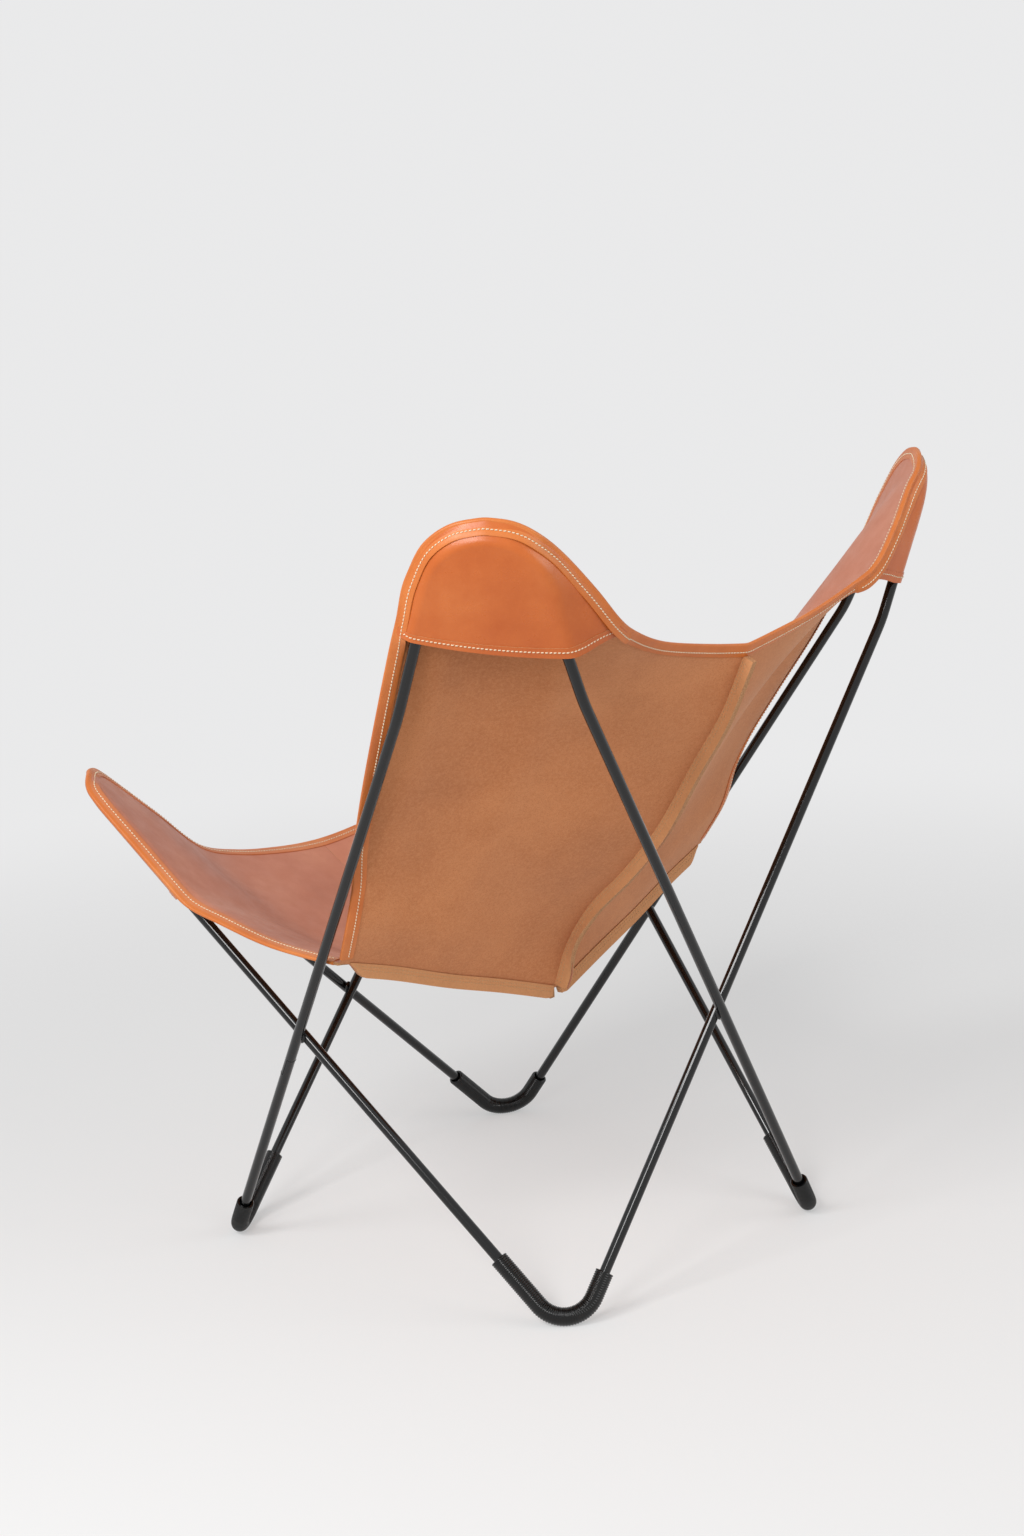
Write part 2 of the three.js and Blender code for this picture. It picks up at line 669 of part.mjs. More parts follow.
// A seam allowance stands out from the back of the sling beside its seam
function seamFin(seam, sideways, outwardOf, from, to) {
  const rings = [];
  const inner = FIT_GAP / 2;
  const outer = inner + LEATHER;
  for (let i = 0; i <= FIN_STEPS; i += 1) {
    const share = from + ((to - from) * i) / FIN_STEPS;
    const at = seam(share);
    const tangent = between(seam(share - SHORT_SHARE), seam(share + SHORT_SHARE)).normalize();
    const outward = outwardOf(tangent);
    const across = sideways.clone().addScaledVector(tangent, -sideways.dot(tangent));
    across.addScaledVector(outward, -across.dot(outward)).normalize();
    const corners = [[inner, 0], [outer, 0], [outer, SEAM_ALLOWANCE], [inner, SEAM_ALLOWANCE]];
    rings.push(corners.map(([a, b]) => along(along(at, across, a), outward, b)));
  }
  const forward = between(seam(from), seam(to)).normalize();
  const turn = between(rings[0][0], rings[0][1]).cross(between(rings[0][1], rings[0][2]));
  const ordered = turn.dot(forward) > 0 ? rings : rings.map((ring) => [...ring].reverse());
  const { points, triangles } = sweepRings(ordered, false);
  const lastStart = FIN_STEPS * rings[0].length;
  triangles.push([0, 2, 1], [0, 3, 2]);
  triangles.push([lastStart, lastStart + 1, lastStart + 2], [lastStart, lastStart + 2, lastStart + 3]);
  return fromFaces(points, triangles);
}

function panelSurface(panel) {
  const points = patchGrid(panel, PANEL_ROWS);
  keepInside(points, panel.ear, panel.pocketDepth + EAR_MARGIN);
  easeFromSeams(points, panel);
  const triangles = gridTriangles(PANEL_ROWS, panel.flip);
  const normals = vertexNormals(points, triangles);
  const width = PANEL_ROWS + 1;
  for (let j = 0; j < width; j += 1) {
    normals[j].x = 0;
    normals[j * width].y = 0;
  }
  return { points, triangles, normals: normals.map((n) => n.normalize()) };
}

function panelSheet(panel, thickness) {
  const { points, triangles, normals } = panelSurface(panel);
  return toSolid(thicken(points, triangles, thickness, normals));
}

// A sheet with its seam allowances
function panelSolid(panel) {
  const sideways = vec(panel.sign, 0, 0);
  const lengthways = vec(0, panel.toBack, 0);
  const behind = vec(panel.toBack, 0, 0);
  const belowCentre = (tangent) => tangent.clone().cross(behind).normalize();
  const belowSide = () => up.clone().negate();
  const seamLength = panel.centre(1).distanceTo(junction);
  const start = SEAM_END / seamLength;
  const centreFin = seamFin(panel.centre, sideways, belowCentre, start, 1 - start);
  const sideLength = panel.side(1).distanceTo(junction);
  const sideStart = SEAM_END / sideLength;
  const sideFin = seamFin(panel.side, lengthways, belowSide, sideStart, 1 - sideStart);
  const sheet = panelSheet(panel, LEATHER);
  return sheet.add(toSolid(centreFin)).add(toSolid(sideFin)).simplify(FINE_MERGE);
}

// Ear pockets: a piece of hide behind the ear whose rim lies on the panel

function pocketSolid(panel) {
  const { ear, pocketOutline: outline } = panel;
  const rimLift = ear.lift - LEATHER - FIT_GAP;
  const around = BAR_DIAMETER / 2 + POCKET_SLACK + LEATHER / 2;
  const profile = [[POCKET_RIM_SHARE * around, rimLift]];
  profile.push(...POCKET_BACK_SHARES.map(([outward, lift]) => [outward * around, lift * around]));
  const points = [];
  const columns = profile.length + 2;
  for (const { rim, rod, hub, slant } of outline) {
    const inward = between(rod, hub).normalize();
    points.push(rim);
    for (const [reach, lift] of profile) {
      points.push(along(along(rod, inward, -reach / Math.cos(slant)), ear.normal, lift));
    }
    points.push(along(hub, ear.normal, -around));
  }
  const triangles = [];
  for (let i = 0; i < outline.length - 1; i += 1) {
    for (let j = 0; j < columns - 1; j += 1) {
      const a = i * columns + j;
      const b = a + 1;
      const c = a + columns;
      const d = c + 1;
      triangles.push(...(panel.pocketFlip ? [[a, b, d], [a, d, c]] : [[a, d, b], [a, c, d]]));
    }
  }
  const { points: joined, triangles: kept } = weldSurface(points, triangles);
  return toSolid(thicken(joined, kept, LEATHER));
}

function weldSurface(points, triangles) {
  const seen = [];
  const index = points.map((p) => {
    const found = seen.findIndex((q) => q.distanceTo(p) < FINE_MERGE);
    if (found >= 0) {
      return found;
    }
    seen.push(p);
    return seen.length - 1;
  });
  const mapped = triangles.map((t) => t.map((k) => index[k]));
  const kept = mapped.filter(([a, b, c]) => a !== b && b !== c && c !== a);
  return { points: seen, triangles: kept };
}

// Where a panel's rim meets a level or a ray, both taken on the ear's plane; the place lies
// under the hide, clear of the strip over its rim
function underRim(line, measure) {
  const inset = BINDING_WIDTH - BINDING_THICKNESS;
  const under = ({ at, outward, normal }) => along(along(at, outward, -inset), normal, -LEATHER - FIT_GAP);
  for (let k = 1; k < line.length; k += 1) {
    const from = measure(line[k - 1].flat);
    const to = measure(line[k].flat);
    if (from * to <= 0 && from !== to) {
      return mix(under(line[k - 1]), under(line[k]), from / (from - to));
    }
  }
  const [nearest] = [...line].sort((p, q) => Math.abs(measure(p.flat)) - Math.abs(measure(q.flat)));
  return under(nearest);
}

function pocketOutline(panel) {
  const { ear, pocketDepth } = panel;
  const plane = (across, down) => earPoint(ear, across, down, 0);
  const hub = new THREE.Vector2(0, ear.bend);
  const rim = rimStations(panel).map((station) => {
    const local = between(ear.apex, station.at);
    return { ...station, flat: new THREE.Vector2(local.dot(ear.across), local.dot(ear.down)) };
  });
  const halves = [rim.slice(0, PANEL_ROWS + 1).reverse(), rim.slice(PANEL_ROWS)];
  const halfOf = (sign) => halves.find((half) => Math.sign(half[POCKET_SIDE_ROW].flat.x) === sign);
  const onLeg = (sign, down) => {
    const rod = plane(sign * legReach(ear, down), down);
    return { rim: underRim(halfOf(sign), (p) => p.y - down), rod, hub: plane(0, down), slant: ear.half };
  };
  const onBend = (degrees) => {
    const angle = THREE.MathUtils.degToRad(degrees);
    const ray = new THREE.Vector2(Math.sin(angle), -Math.cos(angle));
    const place = underRim(halfOf(degrees < 0 ? -1 : 1), (p) => p.clone().sub(hub).cross(ray));
    const slant = Math.max(0, Math.abs(angle) + ear.half - Math.PI / 2);
    const rod = hub.clone().addScaledVector(ray, ear.bend / Math.cos(slant));
    return { rim: place, rod: plane(rod.x, rod.y), hub: plane(0, ear.bend), slant };
  };
  const levels = [];
  for (let i = 0; i < POCKET_ROWS; i += 1) {
    levels.push(pocketDepth + ((ear.bend - pocketDepth) * i) / POCKET_ROWS);
  }
  const bends = [];
  for (let angle = -QUARTER_TURN; angle <= QUARTER_TURN; angle += ARC_STEP_DEGREES) {
    bends.push(onBend(angle));
  }
  return [
    ...levels.map((down) => onLeg(-1, down)),
    ...bends,
    ...levels.reverse().map((down) => onLeg(1, down)),
  ];
}

// Edge binding: a folded strip over the rim of the sling

// Stations along a panel's rim, from the side seam round the ear to the centre seam
function rimStations(panel) {
  const { points, normals } = panelSurface(panel);
  const width = PANEL_ROWS + 1;
  const order = [];
  for (let j = 0; j < width; j += 1) {
    order.push([PANEL_ROWS * width + j, (PANEL_ROWS - 1) * width + j]);
  }
  for (let i = PANEL_ROWS - 1; i >= 0; i -= 1) {
    order.push([i * width + PANEL_ROWS, i * width + PANEL_ROWS - 1]);
  }
  const corner = order[PANEL_ROWS];
  corner[1] = corner[1] - 1;
  const toSitter = normals[corner[0]].dot(panel.ear.normal) > 0 ? 1 : -1;
  return order.map(([rim, inside], k) => {
    const before = points[order[Math.max(k - 1, 0)][0]];
    const after = points[order[Math.min(k + 1, order.length - 1)][0]];
    const tangent = between(before, after).normalize();
    const inward = between(points[rim], points[inside]);
    const outward = inward.addScaledVector(tangent, -inward.dot(tangent)).normalize().negate();
    const normal = tangent.cross(outward).normalize();
    if (normal.dot(normals[rim]) * toSitter < 0) {
      normal.negate();
    }
    return { at: points[rim], normal, outward };
  });
}

// The folded strip's section: the top leg, the rounded fold, the leg below and the slot
// between them that takes the rim of the hide
function bindingSection({ at, normal, outward }) {
  const slot = LEATHER / 2 + BINDING_ROOM;
  const reach = BINDING_ROOM + BINDING_THICKNESS;
  const inner = reach - BINDING_WIDTH;
  const top = slot + BINDING_THICKNESS;
  const round = BINDING_ROUND_SHARE * BINDING_THICKNESS;
  return [
    [inner, top],
    [reach - round, top],
    [reach, top - round],
    [reach, round - top],
    [reach - round, -top],
    [inner, -top],
    [inner, -slot],
    [BINDING_ROOM, -slot],
    [BINDING_ROOM, slot],
    [inner, slot],
  ].map(([a, b]) => along(along(at, outward, a), normal, b));
}

// The room that the strip takes up, with the fit gap round it
function bindingRoom({ at, normal, outward }) {
  const reach = BINDING_ROOM + BINDING_THICKNESS + FIT_GAP;
  const inner = BINDING_ROOM + BINDING_THICKNESS - BINDING_WIDTH - FIT_GAP;
  const top = LEATHER / 2 + BINDING_ROOM + BINDING_THICKNESS + FIT_GAP;
  const corners = [[inner, top], [reach, top], [reach, -top], [inner, -top]];
  return corners.map(([a, b]) => along(along(at, outward, a), normal, b));
}

// Triangles over one end of each section
const STRIP_END = [[0, 1, 9], [1, 8, 9], [1, 2, 8], [2, 3, 8], [3, 7, 8], [3, 4, 7], [4, 5, 7], [5, 6, 7]];
const ROOM_END = [[0, 1, 2], [0, 2, 3]];

function rimBar(stations, section, end) {
  const rings = stations.map(section);
  const forward = between(stations[0].at, stations[1].at);
  const turn = between(rings[0][0], rings[0][1]).cross(between(rings[0][1], rings[0][2]));
  const turned = turn.dot(forward) < 0;
  const ordered = turned ? rings.map((ring) => [...ring].reverse()) : rings;
  const { points, triangles } = sweepRings(ordered, false);
  const sides = ordered[0].length;
  const start = (ordered.length - 1) * sides;
  for (const corners of end) {
    const [a, b, c] = turned ? corners.map((k) => sides - 1 - k).reverse() : corners;
    triangles.push([a, c, b], [start + a, start + b, start + c]);
  }
  return toSolid(fromFaces(points, triangles));
}

// A run of stations whose first one is moved along by a gap
function trimRun(stations, gap) {
  const [first, second, ...rest] = stations;
  const share = gap / first.at.distanceTo(second.at);
  const moved = {
    at: mix(first.at, second.at, share),
    normal: mix(first.normal, second.normal, share).normalize(),
    outward: mix(first.outward, second.outward, share).normalize(),
  };
  return [moved, second, ...rest];
}

function mainBody(solid) {
  return solid.decompose().reduce((most, body) => (body.volume() > most.volume() ? body : most));
}

const group = new THREE.Group();

function addPiece(name, geometry, material) {
  const mesh = new THREE.Mesh(geometry, material);
  mesh.name = name;
  geometry.computeVertexNormals();
  group.add(mesh);
}

const leftLoop = loopCorners(1);
const rightLoop = loopCorners(-1);
const crossings = settleLoops(leftLoop, rightLoop);

addPiece("frame_loop_a", closedBar(loopPath(leftLoop)), steel);
addPiece("frame_loop_b", barWithLap(loopPath(rightLoop), crossings[0]), steel);
for (const crossing of crossings) {
  addPiece(`weld_${crossing.name}`, weldBead(crossing), steel);
}
for (const [name, loop, corner] of [
  ["back_left", leftLoop, "back_foot"],
  ["front_right", leftLoop, "front_foot"],
  ["back_right", rightLoop, "back_foot"],
  ["front_left", rightLoop, "front_foot"],
]) {
  addPiece(`foot_sleeve_${name}`, footSleeve(loop, corner), rubber);
}

const panels = [
  { name: "back_left", sign: 1, toBack: 1, loop: rightLoop },
  { name: "back_right", sign: -1, toBack: 1, loop: leftLoop },
  { name: "seat_left", sign: 1, toBack: -1, loop: leftLoop },
  { name: "seat_right", sign: -1, toBack: -1, loop: rightLoop },
];
for (const panel of panels) {
  const isBack = panel.toBack > 0;
  panel.ear = earFrame(panel.loop, isBack ? "back_ear" : "front_ear", panel.sign);
  panel.side = sideSeam(panel.sign);
  panel.centre = isBack ? backSeam : frontSeam;
  panel.belly = isBack ? BELLY : 0;
  panel.flip = panel.sign * panel.toBack > 0;
  panel.pocketFlip = panel.sign > 0;
  panel.pocketDepth = isBack ? BACK_POCKET_DEPTH : FRONT_POCKET_DEPTH;
  const cornerAt = (name) => panel.loop[cornerOf(panel.loop, name)].at;
  const edges = isBack
    ? backEdges(panel.ear, cornerAt("outer_knee"), cornerAt("front_foot"), panel.sign)
    : frontEdges(panel.ear, panel.sign);
  Object.assign(panel, edges);
  panel.pocketOutline = pocketOutline(panel);
}
const [backLeft, backRight, seatLeft, seatRight] = panels;
const acrossMiddle = (from, to) => [...rimStations(from), ...rimStations(to).reverse().slice(1)];
const rims = [acrossMiddle(backLeft, backRight), acrossMiddle(seatLeft, seatRight)];
const rooms = rims.map((rim) => rimBar(rim, bindingRoom, ROOM_END));
for (const panel of panels) {
  addPiece(`sling_panel_${panel.name}`, toGeometry(panelSolid(panel)), hide);
  const room = panelSheet(panel, LEATHER + 2 * FIT_GAP).add(panel.toBack > 0 ? rooms[0] : rooms[1]);
  const pocket = mainBody(pocketSolid(panel).subtract(room).simplify(COARSE_MERGE));
  addPiece(`ear_pocket_${panel.name}`, toGeometry(pocket), grain);
}

function addBinding(name, stations, startGap, endGap) {
  const run = trimRun(trimRun(stations, startGap).reverse(), endGap).reverse();
  addPiece(`edge_binding_${name}`, toGeometry(rimBar(run, bindingSection, STRIP_END)), strip);
}

const [backRim, seatRim] = rims;
const joint = Math.round(backRim.length * JOINT_SHARE);
addBinding("back_long", backRim.slice(0, joint + 1), BINDING_SETBACK, FIT_GAP / 2);
addBinding("back_short", backRim.slice(joint), FIT_GAP / 2, BINDING_SETBACK);
addBinding("seat", seatRim, BINDING_SETBACK, BINDING_SETBACK);

const box = new THREE.Box3().setFromObject(group);
const middle = box.getCenter(vec(0, 0, 0));
for (const mesh of group.children) {
  mesh.geometry.translate(-middle.x, -middle.y, -box.min.z);
}

export default group;
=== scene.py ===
from math import acos, atan2, ceil, cos, degrees, modf, pi, radians, sin, tan
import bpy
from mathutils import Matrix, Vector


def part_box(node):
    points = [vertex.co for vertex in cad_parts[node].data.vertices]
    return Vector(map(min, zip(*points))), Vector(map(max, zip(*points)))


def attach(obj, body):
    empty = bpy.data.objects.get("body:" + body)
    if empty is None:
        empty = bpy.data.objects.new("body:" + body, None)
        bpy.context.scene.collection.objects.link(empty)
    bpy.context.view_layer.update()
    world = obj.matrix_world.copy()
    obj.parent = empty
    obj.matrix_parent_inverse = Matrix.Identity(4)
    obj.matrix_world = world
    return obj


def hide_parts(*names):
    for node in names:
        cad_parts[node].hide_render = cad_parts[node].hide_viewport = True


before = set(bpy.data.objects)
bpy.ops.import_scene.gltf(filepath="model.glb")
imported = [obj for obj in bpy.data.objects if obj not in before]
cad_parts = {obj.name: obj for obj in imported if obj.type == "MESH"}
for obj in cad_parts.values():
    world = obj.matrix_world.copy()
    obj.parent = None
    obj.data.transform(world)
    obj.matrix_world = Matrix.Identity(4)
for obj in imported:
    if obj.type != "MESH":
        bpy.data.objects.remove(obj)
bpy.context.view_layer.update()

from types import SimpleNamespace as Record

import bpy
import numpy as np
from mathutils import Matrix

MM = 0.001

# The frame's and the sling's named sizes, in millimetres, as the solids have them
BAR, GAP = 12.0, 0.3
CORNERS = {
    "back_foot": (217, 247, 0), "front_ear": (377, -369, 613), "front_foot": (253, -296, 0),
    "outer_knee": (374, 201, 711), "back_ear": (405, 368, 1041), "inner_knee": (262, 344, 720),
}
FOOT_BEND, FRONT_BEND, BACK_BEND, KNEE_BEND = 37.0, 38.0, 56.0, 160.0
SLEEVE_LENGTH, SLEEVE_SHIFT, SLEEVE_D, SOLE_FLAT = 170.0, 19.0, 21.0, 0.6
LEATHER, EAR_MARGIN, EAR_SLACK = 3.5, 22.0, 0.6
BACK_DEPTH, FRONT_DEPTH = 114.0, 150.0
JUNCTION, BACK_TOP, SEAT_FRONT = (0, 40, 302), (0, 352, 735), (0, -364, 428)
SIDE = (312, 14, 408)
# Seams: shares of the way from the junction, level and in height
BACK_SEAM = [(0.07, 0.12), (0.2, 0.25), (0.385, 0.37), (0.56, 0.505), (0.73, 0.68), (0.88, 0.83)]
FRONT_SEAM = [(0.25, 0.02), (0.5, 0.19), (0.75, 0.53)]
SIDE_SEAM = [(0.26, 0.27), (0.51, 0.51), (0.77, 0.79)]
# The back's outer edge: shares of the bar's run, and steps aside and to the sitter in ear margins
OUTER_EDGE = [(0.958, 0.82, 0.56), (0.85, 0.41, 0.62), (0.77, 0.0, 0.62), (0.715, -0.45, 0.42),
              (0.66, -0.72, -0.1)]
# How the edges leave a back ear: across, down and to the sitter, in pocket depths
BACK_FLARE = [(0.613, 0.162, 0.068), (0.919, 0.599, 0.15), (1.12, 0.961, 0.252)]
OUTER_FLARE = [(-0.72, 0.46), (-0.785, 0.76), (-0.85, 1.0)]
# The other edges: shares of the way in x, y and z
TOP_EDGE = [(0.149, 0.479, 0.292), (0.403, 1.102, 0.61), (0.79, 1.229, 0.893)]
SIDE_EDGE = [(0.2, 0.23, 0.36), (0.46, 0.54, 0.76), (0.78, 0.82, 0.94)]
FRONT_EDGE = [(0.3, 0.4, 0.55), (0.6, 0.8, 0.83), (0.85, 0.95, 0.97)]
# Where the edges are held on the round of an ear, in degrees from its apex
OUTER_ANGLES, INNER_ANGLES, FRONT_ANGLES = (25, 50, 75), (20, 38), (30, 60)
FRONT_CURL, EDGE_EASE = 0.3, 1.5
BELLY, SWELL = 44.0, 3125 / 108

# Finer detail that only the picture shows: the bars, the beads and the sleeves
SETTLE_ROUNDS, SETTLE_STEP, ARC_STEP, SLEEVE_STEP = 60, 15.0, 4.0, 3.0
BAR_SIDES, BAR_SPAN, CURVE_STEPS = 24, 40, 24
BEAD, BEAD_WAVE, BEAD_ROWS, BEAD_SIDES = (8.2, 6.4, 3.2), 0.06, 12, 24
LAP_LENGTH, LAP_DROP, LAP_SLIT = 26.0, 46.0, 0.35
LAP_STEP, LAP_SPANS, LAP_SIDES = 12, 8, 6
RIB_PITCH, RIB_STEPS, RIB_DEPTH, RIB_FORM = 2.6, 6, 0.75, 0.7
SLEEVE_SIDES, BORE_RINGS, BORE_PLAY = 36, 60, 1.6

# The panels: how softly they keep off the bars, the back's curled rim and the seat's drooping one
ROWS = 64
KEEP_SOFT, KEEP_FADE = 0.6, 25.0
CURL, CURL_WIDTH, CURL_FROM, CURL_EASE, CURL_DOWN, CURL_FADE = 3.5, 24.0, 5, 60, 185, 50
DROOP, DROOP_WIDTH, DROOP_FROM, DROOP_EASE = 10.0, 20.0, 3, 40
DROOP_LESS, DROOP_DOWN, DROOP_FADE = 0.65, 140, 120

# The pockets. MOUTHS: how far a mouth rises at its outer and inner end, and sags between them
POCKET_LEATHER, POCKET_INSET, POCKET_PLAY = 2.2, 3.0, 0.15
POCKET_RADIUS = BAR / 2 + EAR_SLACK + POCKET_LEATHER / 2
MOUTHS = {1: (12.0, -12.0, 5.0), -1: (8.0, 8.0, 14.0)}
WRAP_SHARE, WRAP_MOST, DOME = 0.6, 20.0, 3.0
LEG_ROWS, ARC_DEGREES, SIDE_LEVEL, WELD_REACH = 30, 4.0, 40, 0.06
RIM_STEPS, BEND_STEPS, WEB_STEPS, MOUTH_STEPS, BEND_START = 7, 9, 10, 6, -0.3
HEM, HEM_LEATHER, HEM_STITCH, HEM_START = 12.0, 0.8, 7.0, 10.0

# The folded strip and its stitches. STRIP_LIP: rows of place, clearance and share of thickness
BIND_WIDTH, BIND_T, BIND_OUT, BIND_STITCH = 15.5, 1.2, 1.7, 9.2
SKIVED, SKIVE_WIDTH, SKIVED_POCKET, STRIP_PLAY = 1.0, 8.0, 1.0, 1.5
STRIP_LIP = ((0.0, 0.1, 0.0), (0.15, 0.0, 0.8), (0.9, 0.0, 1.0))
STRIP_OVER, STRIP_IN, STRIP_CORE, FOLD_STEPS = 0.12, 0.05, (0.2, 0.01), 9
RIM_STEP, RIM_ROUNDS, OUT_ROUNDS, TILT_ROUNDS, TILT_LOW, TILT_HIGH = 3.0, 4, 6, 12, -0.9, 1.3
MOUTH_PAST, MOUTH_EASE, LIFT_MOST = 18.0, 22.0, 60.0
STITCH_PITCH, STITCH_LENGTH, STITCH_R, STITCH_SLANT = 4.2, 3.1, 0.7, 9.0
STITCH_START, STITCH_OVER, STITCH_SIDES = 4.0, 0.2, 6
STITCH_FORM = ((-1, 0.35, -0.5), (-0.75, 0.85, 0.05), (0, 1, 0.25), (0.75, 0.85, 0.05), (1, 0.35, -0.5))

# The seam allowances. They lean over in humps (most, place, width) and waves (most, turns)
SEAM_ALLOWANCE, FIN_STOP, FIN_GAP, FIN_ROOT, FIN_BEND = 16.0, 12.6, 0.015, 0.5, 1.6
FIN_START = {"back": 4.6, "front": 4.6, "left": 4.4, "right": 4.4}
FIN_LINES, FIN_COUNT, SEAM_READS = 7, 110, 80
FIN_ROWS, FIN_STITCH, FIN_STITCH_OVER = (3.5, 7.5), 0.7, 0.05
FIN_TIP, FIN_TAPER, FIN_FORM, FIN_HEEL, HEEL_TAPER = 0.1, 26.0, 0.7, 0.8, 10.0
FIN_HUMPS = {"back": ((5.0, 0.16, 0.07), (-7.0, 0.04, 0.05))}
FIN_WAVES = {"back": ((1.2, 9), (0.8, 23)), "front": ((0.8, 7),), "left": ((1.0, 6),), "right": ((1.0, 6),)}


def vec(*a):
    return np.array(a, float)


def unit(v):
    v = np.asarray(v, float)
    n = np.linalg.norm(v, axis=-1, keepdims=True)
    return v / np.maximum(n, 1e-12)


def turn(v, axis, angle):
    c, s = cos(angle), sin(angle)
    return v * c + np.cross(axis, v) * s + axis * np.dot(axis, v) * (1 - c)


def mix(a, b, t):
    return a + (b - a) * t


def smooth(t):
    t = np.clip(t, 0, 1)
    return t * t * (3 - 2 * t)


def relax(values, times, fit=lambda v: v):
    """Evens out values between their ends."""
    for _ in range(times):
        values[1:-1] = fit((values[:-2] + 2 * values[1:-1] + values[2:]) / 4)


def square_to(v, axis):
    """Unit vectors along v, square to the unit vectors of axis."""
    return unit(v - axis * (v * axis).sum(1, keepdims=True))


def read_at(places, known, values):
    """Points known at some places, read at others."""
    return np.stack([np.interp(places, known, values[:, k]) for k in range(3)], -1)


# Bent bars

def loop_corners(side):
    def corner(name, sign, bend):
        x, y, z = CORNERS[name]
        return Record(at=vec(sign * x, y, z), bend=bend, foot=bend == FOOT_BEND)
    return [corner("back_foot", side, FOOT_BEND), corner("front_ear", side, FRONT_BEND),
            corner("front_foot", -side, FOOT_BEND), corner("outer_knee", -side, KNEE_BEND),
            corner("back_ear", -side, BACK_BEND), corner("inner_knee", -side, KNEE_BEND)]


def bend_arc(corners, i, step=ARC_STEP):
    n = len(corners)
    at, bend = corners[i].at, corners[i].bend
    before = unit(corners[(i - 1) % n].at - at)
    after = unit(corners[(i + 1) % n].at - at)
    half = acos(np.clip(before @ after, -1, 1)) / 2
    inward = unit(before + after)
    centre = at + inward * bend / sin(half)
    start = at + before * bend / tan(half) - centre
    normal = unit(np.cross(before, after))
    sweep = pi - 2 * half
    steps = max(2, ceil(degrees(sweep) / step))
    points = [centre + turn(start, normal, -sweep * k / steps) for k in range(steps + 1)]
    return Record(points=points, centre=centre, inward=inward, half=half, before=before, after=after,
                  normal=normal, bend=bend)


def settle(left, right):
    """Moves the corners until the loops just clear each other and stand on the floor."""
    crossings = [Record(name=name, inner=inner, outer=outer, out=vec(*out)) for name, inner, outer, out in (
        ("left", (left, 0), (right, 2), (1, 0, 0)), ("right", (right, 0), (left, 2), (-1, 0, 0)),
        ("back", (left, 5), (right, 5), (0, 1, 0)), ("front", (right, 1), (left, 1), (0, -1, 0)))]
    for _ in range(SETTLE_ROUNDS):
        for c in crossings:
            (la, i), (lb, j) = c.inner, c.outer
            four = [la[i], la[(i + 1) % 6], lb[j], lb[(j + 1) % 6]]
            a, b, p, q = [k.at for k in four]
            u, v, w = unit(b - a), unit(q - p), a - p
            dot = u @ v
            low = 1 - dot * dot
            first = a + u * (dot * (v @ w) - u @ w) / low
            second = p + v * (v @ w - dot * (u @ w)) / low
            normal = unit(np.cross(u, v))
            if normal @ c.out < 0:
                normal = -normal
            short = BAR + GAP - (second - first) @ normal
            for k, sense in zip(four, (-1, -1, 1, 1)):
                k.at = k.at + sense * normal * short / 2
            c.middle, c.normal, c.inner_run, c.outer_run = (first + second) / 2, normal, u, v
        for loop in (left, right):
            for i, corner in enumerate(loop):
                if corner.foot:
                    low = min(p[2] for p in bend_arc(loop, i, SETTLE_STEP).points)
                    corner.at = corner.at + vec(0, 0, SLEEVE_D / 2 - SOLE_FLAT - low)
    return crossings


left_loop, right_loop = loop_corners(1), loop_corners(-1)
crossings = settle(left_loop, right_loop)


def loop_path(corners):
    return np.array([p for i in range(len(corners)) for p in bend_arc(corners, i).points])


path_a, path_b = loop_path(left_loop), loop_path(right_loop)
middle_cad = np.mean(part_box("frame_loop_a"), axis=0) / MM
SHIFT = (middle_cad - (path_a.min(0) + path_a.max(0)) / 2) * (1, 1, 0)


# Materials

def new_material(name):
    m = bpy.data.materials.new(name)
    m.use_nodes = True
    t = m.node_tree
    return m, t, t.nodes["Principled BSDF"]


def fill(t, n, inputs):
    """Links or sets a node's inputs."""
    for k, v in inputs.items():
        if isinstance(v, bpy.types.NodeSocket):
            t.links.new(v, n.inputs[k])
        else:
            n.inputs[k].default_value = v


def node(t, kind, inputs, **props):
    n = t.nodes.new("ShaderNode" + kind)
    for k, v in props.items():
        setattr(n, k, v)
    fill(t, n, inputs)
    return n


def rgba(colour):
    return colour if isinstance(colour, bpy.types.NodeSocket) else (*colour, 1)


def coords(t):
    return node(t, "TexCoord", {}).outputs["Object"]


def noise(t, scale, detail, rough=0.55, distortion=0.0):
    return node(t, "TexNoise", {"Vector": coords(t), "Scale": scale, "Detail": detail,
                                "Roughness": rough, "Distortion": distortion}).outputs["Fac"]


def ramp(t, fac, *stops):
    n = node(t, "ValToRGB", {"Fac": fac})
    el = n.color_ramp.elements
    while len(el) < len(stops):
        el.new(0.5)
    for e, (pos, colour) in zip(el, stops):
        e.position = pos
        e.color = rgba(colour)
    return n.outputs["Color"]


def grey(t, fac, low, high, out_low=0.0, out_high=1.0):
    return node(t, "MapRange", {"Value": fac, "From Min": low, "From Max": high,
                                "To Min": out_low, "To Max": out_high}).outputs["Result"]


def maths(t, op, a, b):
    return node(t, "Math", {0: a, 1: b}, operation=op).outputs[0]


def blend(t, fac, a, b):
    return node(t, "Mix", {0: fac, 6: rgba(a), 7: rgba(b)}, data_type="RGBA").outputs[2]


def bump(t, height, distance, strength, **under):
    inputs = {"Height": height, "Distance": distance, "Strength": strength, **under}
    return node(t, "Bump", inputs).outputs["Normal"]


